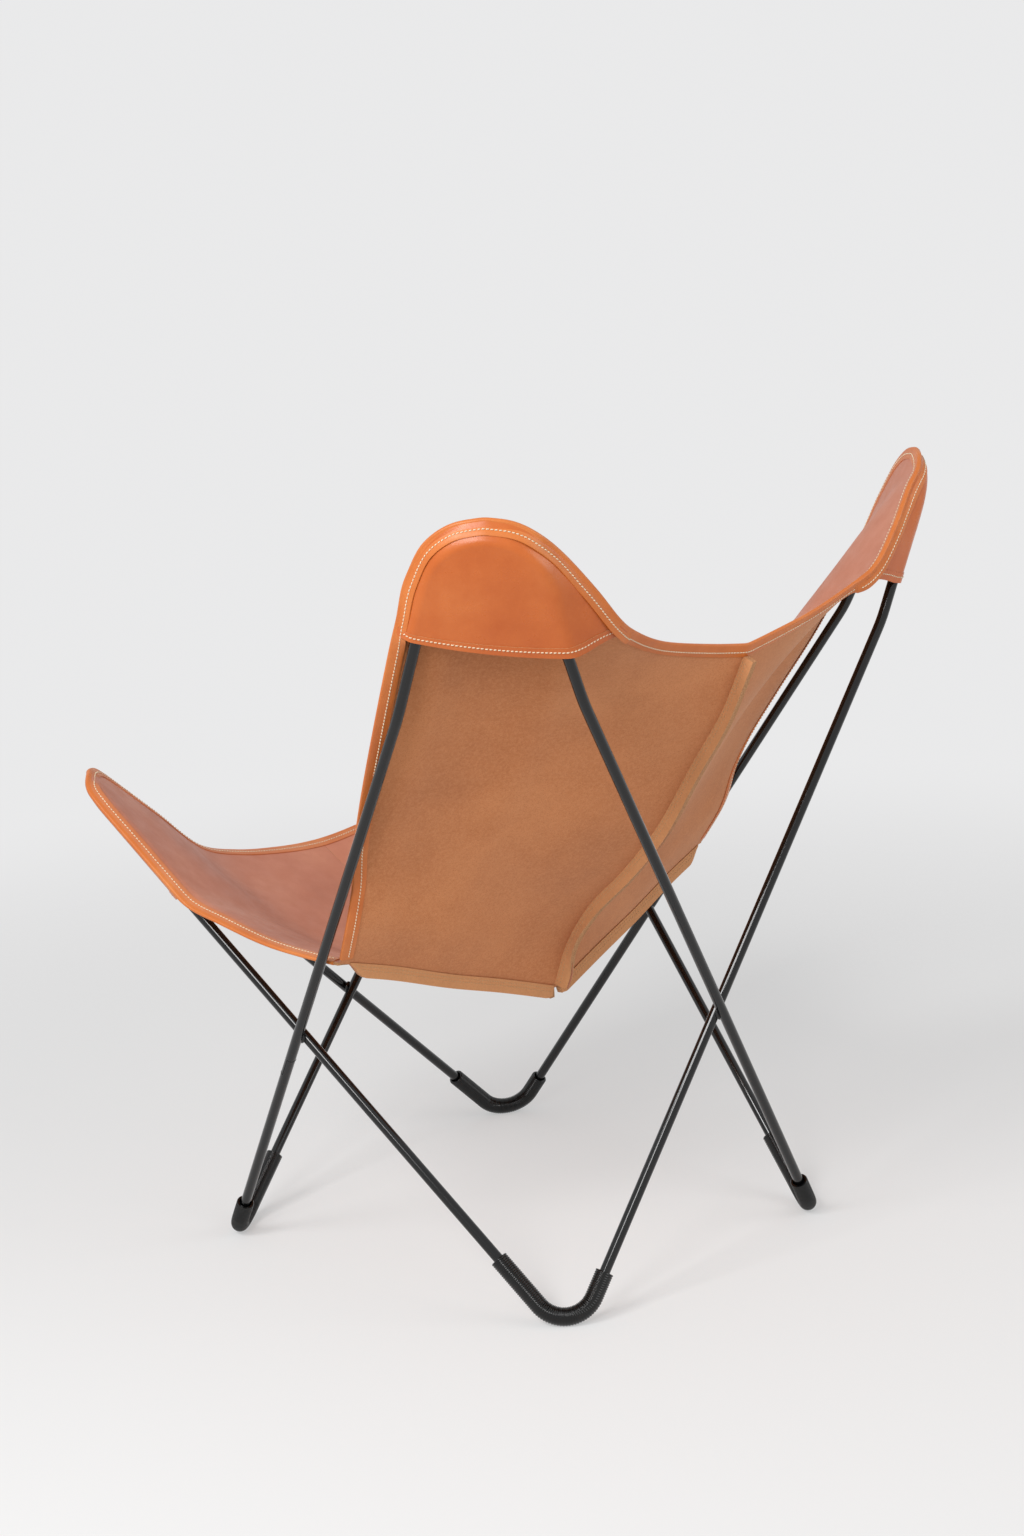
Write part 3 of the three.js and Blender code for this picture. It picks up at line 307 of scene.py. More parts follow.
def make_coat():
    m, t, s = new_material("black_satin_coat")
    fill(t, s, {"Base Color": (0.003, 0.003, 0.0033, 1), "Specular IOR Level": 0.3,
                "Roughness": grey(t, noise(t, 60, 3), 0.3, 0.7, 0.11, 0.122),
                "Coat Weight": 0.35, "Coat Roughness": 0.06,
                "Normal": bump(t, noise(t, 40, 2), 0.00001, 0.1)})
    return m


def make_rubber():
    m, t, s = new_material("black_rubber")
    dust = grey(t, noise(t, 90, 4), 0.45, 0.75)
    fill(t, s, {"Base Color": blend(t, dust, (0.003, 0.003, 0.003), (0.007, 0.007, 0.0065)),
                "Roughness": grey(t, noise(t, 200, 3), 0.3, 0.7, 0.115, 0.13),
                "Normal": bump(t, noise(t, 1500, 2), 0.00002, 0.15), "Specular IOR Level": 0.35})
    return m


def make_grain(name, rough, pores, dark, base, light):
    """The smooth side of the hide: broad clouds, soiling, pale specks, pores and soft creases."""
    m, t, s = new_material(name)
    mid, fine = noise(t, 45, 5, 0.6), noise(t, 420, 3, 0.6)
    cells = node(t, "TexVoronoi", {"Vector": coords(t), "Scale": 620.0}).outputs["Distance"]
    colour = ramp(t, noise(t, 7, 5, 0.6), (0.3, dark), (0.52, base), (0.75, light))
    colour = blend(t, grey(t, mid, 0.35, 0.7, 0.0, 0.35), colour, dark)
    colour = blend(t, grey(t, fine, 0.55, 0.8, 0.0, 0.25), colour, light)
    n = bump(t, fine, 0.0002, 0.4, Normal=bump(t, cells, 0.00022, 0.35 * pores))
    fill(t, s, {"Base Color": colour, "Roughness": grey(t, mid, 0.3, 0.7, rough - 0.06, rough + 0.08),
                "Normal": bump(t, noise(t, 24, 4), 0.0012, 0.35, Normal=n), "Specular IOR Level": 0.4})
    return m


def make_flesh(name, fray=0.0):
    """The napped side of the hide; fray is how much pale fibre covers it."""
    m, t, s = new_material(name)
    nap, fleck = noise(t, 260, 6, 0.7), noise(t, 950, 2, 0.6)
    blotch = noise(t, 26, 5, 0.6, distortion=0.6)
    colour = ramp(t, noise(t, 5.5, 5, 0.62), (0.3, (0.44, 0.15, 0.054)), (0.5, (0.53, 0.19, 0.069)),
                  (0.72, (0.6, 0.23, 0.088)))
    colour = blend(t, grey(t, blotch, 0.45, 0.75, 0.0, 0.3), colour, (0.4, 0.123, 0.04))
    colour = blend(t, grey(t, nap, 0.4, 0.7, 0.0, 0.5), colour, (0.66, 0.29, 0.122))
    colour = blend(t, grey(t, fleck, 0.5, 0.7, 0.0, 0.6), colour, (0.37, 0.12, 0.04))
    if fray:
        colour = blend(t, fray, colour, (0.62, 0.36, 0.17))
    n = bump(t, fleck, 0.0003, 0.5, Normal=bump(t, nap, 0.0005, 0.55))
    fill(t, s, {"Base Color": colour, "Roughness": 0.86, "Specular IOR Level": 0.2,
                "Normal": bump(t, noise(t, 18, 4), 0.0015, 0.4, Normal=n),
                "Sheen Weight": 0.25, "Sheen Roughness": 0.5, "Sheen Tint": (1.0, 0.85, 0.7, 1)})
    return m


def make_cut_edge():
    m, t, s = new_material("leather_cut_edge")
    fibre = noise(t, 700, 5, 0.7)
    colour = ramp(t, fibre, (0.3, (0.3, 0.13, 0.05)), (0.55, (0.5, 0.25, 0.11)), (0.8, (0.62, 0.36, 0.19)))
    fill(t, s, {"Base Color": colour, "Roughness": 0.8, "Normal": bump(t, fibre, 0.0005, 0.6)})
    return m


def make_thread():
    m, t, s = new_material("cream_thread")
    wave = node(t, "TexWave", {"Vector": coords(t), "Scale": 700.0, "Distortion": 2.0})
    strand = wave.outputs["Fac"]
    colour = ramp(t, strand, (0.2, (0.7, 0.53, 0.34)), (0.8, (0.9, 0.78, 0.58)))
    fill(t, s, {"Base Color": colour, "Roughness": 0.6, "Normal": bump(t, strand, 0.0002, 0.6)})
    return m


def make_plain(name, colour, rough):
    m, t, s = new_material(name)
    fill(t, s, {"Base Color": rgba(colour), "Roughness": rough})
    return m


COAT = make_coat()
RUBBER = make_rubber()
GRAIN = make_grain("leather_grain_side", 0.5, 1.0,
                   (0.46, 0.165, 0.095), (0.55, 0.207, 0.123), (0.62, 0.258, 0.155))
POCKET = make_grain("leather_pocket", 0.3, 0.6,
                    (0.46, 0.09, 0.013), (0.56, 0.132, 0.024), (0.64, 0.18, 0.042))
STRIP = make_grain("leather_strip", 0.42, 0.8,
                   (0.52, 0.127, 0.023), (0.62, 0.174, 0.035), (0.69, 0.234, 0.06))
# Painted shade: the strip's sitter-side face, a greyer and pinker copy of the strip's own colour that stands
# in for how that face looks in shadow
STRIP_SHADE = make_grain("leather_strip_painted_shade", 0.46, 0.8,
                       (0.5, 0.15, 0.05), (0.6, 0.195, 0.07), (0.68, 0.25, 0.1))
FLESH = make_flesh("leather_flesh_side")
FIN = make_flesh("leather_seam_allowance", 0.4)
EDGE = make_cut_edge()
THREAD = make_thread()
# Painted shadow for the lap's slit: near-black and matte
GAP_SHADOW = make_plain("gap_shadow", (0.002, 0.002, 0.002), 0.9)
TAN_THREAD = make_plain("tan_thread", (0.5, 0.3, 0.15), 0.7)


# Mesh building

def add_object(name, points, faces, materials, indices=None, slot=None, replaces=(), angle=None):
    """A piece that rides on the body; angle, in degrees, is where its shading breaks."""
    mesh = bpy.data.meshes.new(name)
    mesh.from_pydata([tuple((p + SHIFT) * MM) for p in np.reshape(points, (-1, 3))], [], faces)
    mesh.validate()
    for m in materials:
        mesh.materials.append(m)
    if indices is not None and len(indices) == len(mesh.polygons):
        mesh.polygons.foreach_set("material_index", np.array(indices, np.int32))
    mesh.polygons.foreach_set("use_smooth", np.full(len(mesh.polygons), True))
    if angle is not None:
        mesh.set_sharp_from_angle(angle=radians(angle))
    mesh.update()
    obj = bpy.data.objects.new(name, mesh)
    bpy.context.scene.collection.objects.link(obj)
    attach(obj, "root")
    if replaces:
        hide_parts(*replaces)
    return obj


def tube_rings(path, radii, sides, closed):
    """Rings of points square to a path; radii is one number or one for each point."""
    path = np.asarray(path, float)
    n = len(path)
    step, back = unit(np.diff(path, axis=0)), unit(path[:1] - path[-1:])
    step = np.vstack([back, step, back] if closed else [step[:1], step, step[-1:]])
    along = unit(step[:-1] + step[1:])
    ref = np.zeros_like(path)
    ref[0] = unit(np.cross(along[0], vec(0.3, 0.5, 0.8)))
    for i in range(1, n):
        ref[i] = unit(ref[i - 1] - along[i] * (ref[i - 1] @ along[i]))
    if closed:
        last = unit(ref[-1] - along[0] * (ref[-1] @ along[0]))
        drift = atan2(np.cross(last, ref[0]) @ along[0], last @ ref[0])
        for i in range(n):
            ref[i] = turn(ref[i], along[i], drift * i / n)
    other = np.cross(along, ref)
    radii = np.broadcast_to(radii, (n,))[:, None, None]
    angles = np.arange(sides)[:, None] * 2 * pi / sides
    return path[:, None] + radii * (np.cos(angles) * ref[:, None] + np.sin(angles) * other[:, None])


def ring_faces(rings, sides, closed, caps=False, start=0):
    faces = []
    for i in range(rings if closed else rings - 1):
        a, b = start + i * sides, start + ((i + 1) % rings) * sides
        for j in range(sides):
            k = (j + 1) % sides
            faces.append((a + j, a + k, b + k, b + j))
    if caps:
        faces.append(tuple(start + j for j in reversed(range(sides))))
        faces.append(tuple(start + (rings - 1) * sides + j for j in range(sides)))
    return faces


def tube(name, path, radius, sides, closed, material, **kw):
    faces = ring_faces(len(path), sides, closed, not closed)
    add_object(name, tube_rings(path, radius, sides, closed), faces, [material], **kw)


def grid_faces(n, m):
    return [(i * m + j, (i + 1) * m + j, (i + 1) * m + j + 1, i * m + j + 1)
            for i in range(n - 1) for j in range(m - 1)]


def grid_normals(grid):
    return unit(np.cross(np.gradient(grid, axis=0), np.gradient(grid, axis=1)))


def thick_sheet(name, grid, normals, thickness, materials, **kw):
    """A closed sheet round a grid of mid points; materials: top, underside, edges."""
    n, m = grid.shape[:2]
    half, count = thickness / 2, n * m
    sample = grid[n // 2, m // 2]
    quad = np.cross(grid[n // 2 + 1, m // 2] - sample, grid[n // 2, m // 2 + 1] - sample)
    up = quad @ normals[n // 2, m // 2] > 0
    faces, idx = [], []
    for a, b, c, d in grid_faces(n, m):
        face = (a, b, c, d) if up else (a, d, c, b)
        faces += [face, tuple(k + count for k in reversed(face))]
        idx += [0, 1]
    rim = [i * m for i in range(n)] + [(n - 1) * m + j for j in range(1, m)]
    rim += [i * m + m - 1 for i in range(n - 2, -1, -1)] + list(range(m - 2, 0, -1))
    for p, q in zip(rim, rim[1:] + rim[:1]):
        faces.append((p, p + count, q + count, q) if up else (q, q + count, p + count, p))
        idx.append(2)
    both = [grid + normals * half, grid - normals * half]
    return add_object(name, both, faces, materials, idx, angle=50, **kw)


# Smooth curves through points

class Curve:
    """A polyline read at shares of its length."""

    def __init__(self, dense):
        self.p = np.asarray(dense, float)
        step = np.linalg.norm(np.diff(self.p, axis=0), axis=1)
        self.s = np.concatenate([[0], np.cumsum(step)])
        self.length = self.s[-1]

    def read(self, values, share):
        """Reads values that belong to the polyline's points."""
        return read_at(np.clip(np.asarray(share, float), 0, 1) * self.length, self.s, values)

    def __call__(self, share):
        return self.read(self.p, share)


def smooth_curve(points):
    """A curve through points, eased by the roots of their distances."""
    ends = [2 * points[0] - points[1], *points, 2 * points[-1] - points[-2]]
    out = []
    for i in range(1, len(ends) - 2):
        p0, p1, p2, p3 = ends[i - 1:i + 3]
        d0, d1, d2 = [max(np.linalg.norm(b - a), 1e-9) ** 0.5 for a, b in ((p0, p1), (p1, p2), (p2, p3))]
        t1 = ((p1 - p0) / d0 - (p2 - p0) / (d0 + d1) + (p2 - p1) / d1) * d1
        t2 = ((p2 - p1) / d1 - (p3 - p1) / (d1 + d2) + (p3 - p2) / d2) * d1
        square, cube = -3 * p1 + 3 * p2 - 2 * t1 - t2, 2 * p1 - 2 * p2 + t1 + t2
        for k in range(CURVE_STEPS):
            t = k / CURVE_STEPS
            out.append(p1 + t1 * t + square * t * t + cube * t ** 3)
    out.append(points[-1])
    return Curve(out)


# Ears and the sling's edges

def ear_frame(corners, index, sign):
    """An ear's own axes, from the apex of its bend; its normal looks to the sitter."""
    arc = bend_arc(corners, index)
    inward, normal = arc.inward, arc.normal
    if normal[0] * sign > 0:
        normal = -normal
    across = np.cross(inward, normal)
    if across[1] < 0:
        across = -across
    return Record(apex=arc.centre - inward * arc.bend, normal=normal, down=inward, across=across,
                  lift=BAR / 2 + EAR_SLACK + LEATHER / 2, bend=arc.bend, half=arc.half)


def ear_point(ear, across, down, lift=None):
    lift = ear.lift if lift is None else lift
    return ear.apex + ear.across * across + ear.down * down + ear.normal * lift


def ear_arc(ear, angle, radius):
    a = radians(angle)
    return ear_point(ear, radius * sin(a), ear.bend - radius * cos(a))


def leg_reach(ear, down):
    """How far the bar lies from the ear's middle, so far down."""
    return ear.bend / cos(ear.half) + (down - ear.bend) * tan(ear.half)


junction, back_top, seat_front = vec(*JUNCTION), vec(*BACK_TOP), vec(*SEAT_FRONT)


def side_end(sign):
    return vec(sign * SIDE[0], *SIDE[1:])


def share_point(a, b, shares):
    return a + (b - a) * vec(*shares)


def seam(end, shares):
    return smooth_curve([junction, *[share_point(junction, end, (a, a, b)) for a, b in shares], end])


back_seam = seam(back_top, BACK_SEAM)
front_seam = seam(seat_front, FRONT_SEAM)


def edge(tip, points, end, shares=()):
    """An edge up to the ear's tip: from end, over shares of the way to it, and through points."""
    way = [share_point(points[-1], end, s) for s in shares]
    return smooth_curve([tip, *points, *way, end][::-1])


def back_edges(ear, knee, foot, sign):
    radius = BACK_BEND + EAR_MARGIN
    tip = ear_arc(ear, 0, radius)
    outer = [ear_arc(ear, -a, radius) for a in OUTER_ANGLES]
    outer += [ear_point(ear, a * BACK_DEPTH, d * BACK_DEPTH) for a, d in OUTER_FLARE]
    outer += [mix(foot, knee, share) - ear.across * reach * EAR_MARGIN + ear.normal * lift * EAR_MARGIN
              for share, reach, lift in OUTER_EDGE]
    inner = [ear_arc(ear, a, radius) for a in INNER_ANGLES]
    inner += [ear_point(ear, a * BACK_DEPTH, d * BACK_DEPTH, ear.lift + up * BACK_DEPTH)
              for a, d, up in BACK_FLARE]
    return edge(tip, outer, side_end(sign)), edge(tip, inner, back_top, TOP_EDGE)


def front_edges(ear, sign):
    radius, curl = FRONT_BEND + EAR_MARGIN, FRONT_CURL * EAR_MARGIN
    tip = ear_arc(ear, 0, radius)
    downs = [0.5 * FRONT_DEPTH, FRONT_DEPTH]
    legs = [(leg_reach(ear, d) + EAR_MARGIN / cos(ear.half), d) for d in downs]
    outer = [ear_arc(ear, a, radius) for a in FRONT_ANGLES] + [ear_point(ear, r, d) for r, d in legs]
    inner = [ear_arc(ear, -a, radius) for a in FRONT_ANGLES]
    inner += [ear_point(ear, -r, d, ear.lift + curl * d / FRONT_DEPTH) for r, d in legs]
    return edge(tip, outer, side_end(sign), SIDE_EDGE), edge(tip, inner, seat_front, FRONT_EDGE)


PANELS = []
for name, sign, to_back, loop in (("back_left", 1, 1, right_loop), ("back_right", -1, 1, left_loop),
                                  ("seat_left", 1, -1, left_loop), ("seat_right", -1, -1, right_loop)):
    is_back = to_back > 0
    ear = ear_frame(loop, 4 if is_back else 1, sign)
    free, middle = back_edges(ear, loop[3].at, loop[2].at, sign) if is_back else front_edges(ear, sign)
    PANELS.append(Record(name=name, sign=sign, to_back=to_back, ear=ear, free=free, middle=middle,
                         side=seam(side_end(sign), SIDE_SEAM), centre=back_seam if is_back else front_seam,
                         depth=BACK_DEPTH if is_back else FRONT_DEPTH))


def swell(share):
    """Nothing and level at both ends, one at three fifths."""
    return SWELL * share ** 3 * (1 - share) ** 2


def patch(panel):
    """The sheet between a panel's four edges, with the back's belly."""
    k = 1 - (1 - np.arange(ROWS + 1) / ROWS) ** EDGE_EASE
    side, centre, free, middle = (line(k) for line in (panel.side, panel.centre, panel.free, panel.middle))
    u, v = k[:, None, None], k[None, :, None]
    ruled_u = side[:, None] * (1 - v) + middle[:, None] * v
    ruled_v = centre[None, :] * (1 - u) + free[None, :] * u
    corners = (side[0] * (1 - u) + side[-1] * u) * (1 - v) + (middle[0] * (1 - u) + middle[-1] * u) * v
    belly = BELLY * swell(u) * swell(v) if panel.to_back > 0 else 0.0
    return ruled_u + ruled_v - corners + belly * panel.ear.normal


def panel_surface(panel):
    """The panel's mid points and normals: kept off the bars, with a curled or drooping rim."""
    grid = patch(panel)
    ear, is_back = panel.ear, panel.to_back > 0
    local = grid - ear.apex
    fade = (panel.depth + EAR_MARGIN + KEEP_FADE - local @ ear.down) / (2 * KEEP_FADE)
    need = np.logaddexp(0, (ear.lift - local @ ear.normal) / KEEP_SOFT) * KEEP_SOFT * smooth(fade)
    rim = local[:, -1:] if is_back else local[-1:, :]
    across, down = rim @ ear.across, rim @ ear.down
    if is_back:
        width = CURL_WIDTH
        lift = CURL * smooth((across - CURL_FROM) / CURL_EASE) * smooth((CURL_DOWN - down) / CURL_FADE)
    else:
        width = DROOP_WIDTH
        lift = -DROOP * smooth((across - DROOP_FROM) / DROOP_EASE)
        lift = lift * (1 - DROOP_LESS * smooth((down - DROOP_DOWN) / DROOP_FADE))
    near = np.clip(1 - np.linalg.norm(local - rim, axis=-1) / width, 0, 1)
    grid = grid + (need + lift * near * near)[..., None] * ear.normal
    grid[0, :, 0] = panel.sign * GAP / 2
    grid[:, 0, 1] += panel.to_back * GAP / 2
    normals = grid_normals(grid)
    if normals[-2, -2] @ ear.normal < 0:
        normals = -normals
    normals[0, :, 0] = normals[:, 0, 1] = 0
    return grid, unit(normals)


for panel in PANELS:
    panel.grid, panel.normals = panel_surface(panel)
    panel.piece = thick_sheet("hide_" + panel.name, panel.grid, panel.normals, LEATHER, [GRAIN, FLESH, EDGE],
                              slot="sling_hide", replaces=["sling_panel_" + panel.name])

# Bars, lap and welds

for name, path in (("loop_a", path_a), ("loop_b", path_b)):
    dense = []
    for a, b in zip(path, np.roll(path, -1, 0)):
        steps = max(1, round(np.linalg.norm(b - a) / BAR_SPAN))
        dense += [mix(a, b, k / steps) for k in range(steps)]
    tube("bent_bar_" + name, dense, BAR / 2, BAR_SIDES, True, COAT, slot="frame", replaces=["frame_" + name])

# The half lap where loop b closes on itself: a slit along both sides and half round each end, drawn as thin
# near-black tubes that paint the shadow in the slit
first = crossings[0]
run = first.outer_run * -np.sign(first.outer_run[2])
lap_at = first.middle + first.normal * (BAR + GAP) / 2 + run * LAP_DROP
lap_side = unit(vec(0, 1, 0) - run * run[1])
lap_face = np.cross(run, lap_side)
half_ring = [radians(d) for d in range(0, 181, LAP_STEP)]
lines = [[(end * LAP_LENGTH / 2, sense * a) for a in half_ring] for end, sense in ((-1, 1), (1, -1))]
lines += [[(x, a) for x in np.linspace(-LAP_LENGTH / 2, LAP_LENGTH / 2, LAP_SPANS)] for a in (0, pi)]
for k, line in enumerate(lines):
    path = [lap_at + run * x + (lap_face * cos(a) + lap_side * sin(a)) * BAR / 2 for x, a in line]
    tube(f"lap_slit_{k + 1}", path, LAP_SLIT, LAP_SIDES, False, GAP_SHADOW)

for c in crossings:
    t1, t2 = unit(c.inner_run), unit(c.outer_run)
    x = unit(t1 + t2 * np.sign(t1 @ t2))
    y = np.cross(c.normal, x)
    points = []
    for i in range(BEAD_ROWS + 1):
        a = pi * i / BEAD_ROWS - pi / 2
        for j in range(BEAD_SIDES):
            b = 2 * pi * j / BEAD_SIDES
            wave = 1 + BEAD_WAVE * sin(5 * b + i)
            level = x * BEAD[0] * cos(a) * cos(b) + y * BEAD[1] * cos(a) * sin(b)
            points.append(c.middle + wave * level + c.normal * BEAD[2] * sin(a))
    add_object("bead_" + c.name, points, ring_faces(BEAD_ROWS + 1, BEAD_SIDES, False), [COAT],
               slot="frame", replaces=["weld_" + c.name])


# Foot sleeves

def foot_sleeve(name, corners, index):
    """A ribbed hose round a foot, its bore, and the rings that join them at both ends."""
    arc = bend_arc(corners, index, SLEEVE_STEP)
    after_is_front = corners[(index + 1) % 6].bend == FRONT_BEND
    to_ear, other, points = ((arc.after, arc.before, arc.points) if after_is_front
                             else (arc.before, arc.after, arc.points[::-1]))
    length = Curve(points).length
    low_arm = (SLEEVE_LENGTH - length) / 2 + SLEEVE_SHIFT
    high_arm = SLEEVE_LENGTH - length - low_arm
    spine = Curve([points[0] + other * high_arm, *points, points[-1] + to_ear * low_arm])
    ribs, sides = round(spine.length / RIB_PITCH), SLEEVE_SIDES
    share = np.linspace(0, 1, ribs * RIB_STEPS + 1)
    wave = 0.5 - 0.5 * np.cos(2 * pi * share * ribs)
    outer = tube_rings(spine(share), SLEEVE_D / 2 - RIB_DEPTH * (1 - wave ** RIB_FORM), sides, False)
    bore = tube_rings(spine(np.linspace(0, 1, BORE_RINGS))[::-1], BAR / 2 + BORE_PLAY, sides, False)
    rings = np.concatenate([outer.reshape(-1, 3), bore.reshape(-1, 3)])
    start = len(share) * sides
    faces = ring_faces(len(share), sides, False) + ring_faces(BORE_RINGS, sides, False, start=start)
    for a0, b0 in ((start - sides, start), (start + (BORE_RINGS - 1) * sides, 0)):
        ring_a, ring_b = rings[a0:a0 + sides], rings[b0:b0 + sides]
        k0 = int(np.argmin(np.linalg.norm(ring_b - ring_a[0], axis=1)))
        ahead, behind = (np.linalg.norm(ring_b[(k0 + d) % sides] - ring_a[1]) for d in (1, -1))
        d = 1 if ahead < behind else -1
        for j in range(sides):
            k = (j + 1) % sides
            faces.append((a0 + j, a0 + k, b0 + (k0 + d * k) % sides, b0 + (k0 + d * j) % sides))
    rings[:, 2] = np.maximum(rings[:, 2], 0)
    add_object("hose_" + name, rings, faces, [RUBBER], slot="foot_rubber",
               replaces=["foot_sleeve_" + name], angle=70)


for name, corners, index in (("back_left", left_loop, 0), ("front_right", left_loop, 2),
                             ("back_right", right_loop, 0), ("front_left", right_loop, 2)):
    foot_sleeve(name, corners, index)


# Stitches: short rounded threads laid along a line, half sunk in the hide

def stitch_row(name, line, normals, start=STITCH_START, thread=THREAD, size=1.0):
    length, radius = STITCH_LENGTH * size, STITCH_R * size
    curve = Curve(line)
    points, faces = [], []
    for k in range(int((curve.length - 2 * start) / STITCH_PITCH)):
        share = (start + (k + 0.5) * STITCH_PITCH) / curve.length
        at, n = curve(share), unit(curve.read(normals, share))
        along = turn(unit(curve(share + 1e-3) - curve(share - 1e-3)), n, radians(STITCH_SLANT))
        across = np.cross(n, along)
        base = len(points)
        for t, r, lift in STITCH_FORM:
            c = at + along * t * length / 2 + n * lift * radius
            for j in range(STITCH_SIDES):
                a = 2 * pi * j / STITCH_SIDES
                points.append(c + across * r * radius * cos(a) + n * r * radius * sin(a))
        faces += ring_faces(len(STITCH_FORM), STITCH_SIDES, False, True, base)
    add_object(name, points, faces, [thread])


# Edge binding

def rim_of(panel):
    """A panel's free rim: its points, its normals, and points of the hide three rows further in."""
    def along(values, row):
        return np.vstack([values[row, :], values[-2::-1, row]])
    return along(panel.grid, -1), along(panel.normals, -1), along(panel.grid, -4)


def joined_rim(a, b):
    """The rims of two panels as one even run of points, normals and directions outward."""
    parts = [rim_of(a), [x[::-1][1:] for x in rim_of(b)]]
    at, normal, inside = (np.vstack([p[k] for p in parts]) for k in range(3))
    curve = Curve(at)
    share = np.linspace(0, 1, int(curve.length / RIM_STEP))
    at, normal, inside = (curve.read(values, share) for values in (at, normal, inside))
    normal = unit(normal)
    relax(normal, RIM_ROUNDS, unit)
    relax(at, RIM_ROUNDS)
    outward = square_to(at - inside, unit(np.gradient(at, axis=0)))
    relax(outward, OUT_ROUNDS, unit)
    return at, square_to(normal, outward), outward


def tangent_angle(x, y, radius):
    """Where a straight line from (x, y) meets a circle round the origin on its lower side."""
    reach = np.maximum(np.hypot(x, y), radius)
    return np.arctan2(y, x) - np.arccos(radius / reach)


def wrap_radius(far):
    """The further the rim stands off the bar, the wider the pocket's bend behind it."""
    return np.clip(WRAP_SHARE * far, POCKET_RADIUS, WRAP_MOST)


def wrap_of(rim, pair):
    """How much pocket lies under the strip, and the slope on which it leaves the rim."""
    at, normal, outward = rim
    tangent = unit(np.gradient(at, axis=0))
    share, slope = np.zeros(len(at)), np.zeros(len(at))
    for panel in pair:
        ear = panel.ear
        local = at - ear.apex
        across, down, lift = local @ ear.across, local @ ear.down, local @ ear.normal
        hub = np.hypot(across, down - ear.bend)
        leg, c, s = down >= ear.bend, cos(ear.half), sin(ear.half)
        in_a = np.where(leg, -np.sign(across) * c, -across / hub)
        in_d = np.where(leg, s, (ear.bend - down) / hub)
        far = np.where(leg, (abs(across) - leg_reach(ear, down)) * c, hub - ear.bend) - POCKET_INSET
        inward = in_a[:, None] * ear.across + in_d[:, None] * ear.down
        along = in_d[:, None] * ear.across - in_a[:, None] * ear.down
        radius = wrap_radius(far)
        rest = lift - LEATHER / 2 - POCKET_LEATHER / 2 - POCKET_PLAY - radius + POCKET_RADIUS
        angle = tangent_angle(far, rest, radius)
        reach, fall = far - radius * np.cos(angle), rest - radius * np.sin(angle)
        run = inward * np.maximum(reach, 1)[:, None] - ear.normal * fall[:, None]
        lie = unit(np.cross(tangent, np.cross(run, along)))
        lie = lie * -np.sign((lie * outward).sum(1, keepdims=True))
        tilt = np.arctan2(-(lie * normal).sum(1), -(lie * outward).sum(1))
        outer_rise, inner_rise, _ = MOUTHS[panel.to_back]
        mouth = panel.depth - np.where(across > 0, inner_rise, outer_rise)
        here = np.clip((mouth + MOUTH_PAST - down) / MOUTH_EASE, 0, 1) * (abs(lift) < LIFT_MOST)
        slope = np.where(here > share, np.clip(tilt, TILT_LOW, TILT_HIGH), slope)
        share = np.maximum(share, here)
    share = smooth(share)
    slope = slope * share
    relax(slope, TILT_ROUNDS)
    return share, slope


def strip_point(rim, a, b):
    """A place on the strip: a outward, b toward the sitter; behind the rim it lies on the pocket."""
    at, normal, outward, share, slope = rim
    a, b = (np.full(len(at), float(k)) for k in (a, b))
    behind = b < 0
    extra = mix(SKIVED_POCKET, POCKET_LEATHER + STRIP_PLAY, np.clip(-a / SKIVE_WIDTH, 0, 1))
    b = np.where(behind, b - share * extra, b)
    pivot_b = -LEATHER / 2 - share * (POCKET_LEATHER + STRIP_PLAY)
    x, y = a + POCKET_INSET, b - pivot_b
    turned = behind & (x < 0)
    c, s = np.cos(slope), np.sin(slope)
    a = np.where(turned, x * c - y * s - POCKET_INSET, a)
    b = np.where(turned, x * s + y * c + pivot_b, b)
    return at + outward * a[:, None] + normal * b[:, None]


def half_at(a):
    """Half the hide's thickness under the strip, thin at the fold."""
    return mix(SKIVED, LEATHER / 2, np.clip(-a / SKIVE_WIDTH, 0, 1))


def binding(name, rim, tags):
    """The folded strip, its section going over the fold and back, and its rows of stitches."""
    inner = BIND_OUT - BIND_WIDTH
    fold = [(BIND_OUT * cos(a), (SKIVED + BIND_T) * sin(a)) for a in np.linspace(pi / 2, -pi / 2, FOLD_STEPS)]
    over = [(inner + a, LEATHER / 2 + b + BIND_T * c) for a, b, c in STRIP_LIP]
    over += [(a, half_at(a) + BIND_T + STRIP_OVER) for a in (inner * 0.7, inner / 2, -POCKET_INSET)]
    section = over + fold + [(a, -b) for a, b in over[::-1]]
    section += [(-POCKET_INSET, -half_at(-POCKET_INSET) - STRIP_IN), (0, -SKIVED - STRIP_IN), STRIP_CORE,
                (0, SKIVED + STRIP_IN)]
    sides, count = len(section), len(rim[0])
    points = np.stack([strip_point(rim, a, b) for a, b in section], 1)
    # The faces on the sitter side of the fold get the painted-shade copy of the strip's colour; the rest get
    # the strip's own colour
    shade_side = [int(j < len(over) - 1) for _ in range(count - 1) for j in range(sides)] + [0, 0]
    add_object("binding_" + name, points, ring_faces(count, sides, False, True), [STRIP, STRIP_SHADE], shade_side,
               slot="binding_hide", replaces=["edge_binding_" + name], angle=40)
    normal, outward, slope = rim[1], rim[2], rim[4][:, None]
    level = LEATHER / 2 + BIND_T + STITCH_OVER
    back = outward * np.sin(slope) - normal * np.cos(slope)
    for tag, sense, looks in ((tags[0], 1, normal), (tags[1], -1, back)):
        row = strip_point(rim, BIND_OUT - BIND_STITCH, sense * level)
        stitch_row(f"stitches_{name}_{tag}", row, looks)


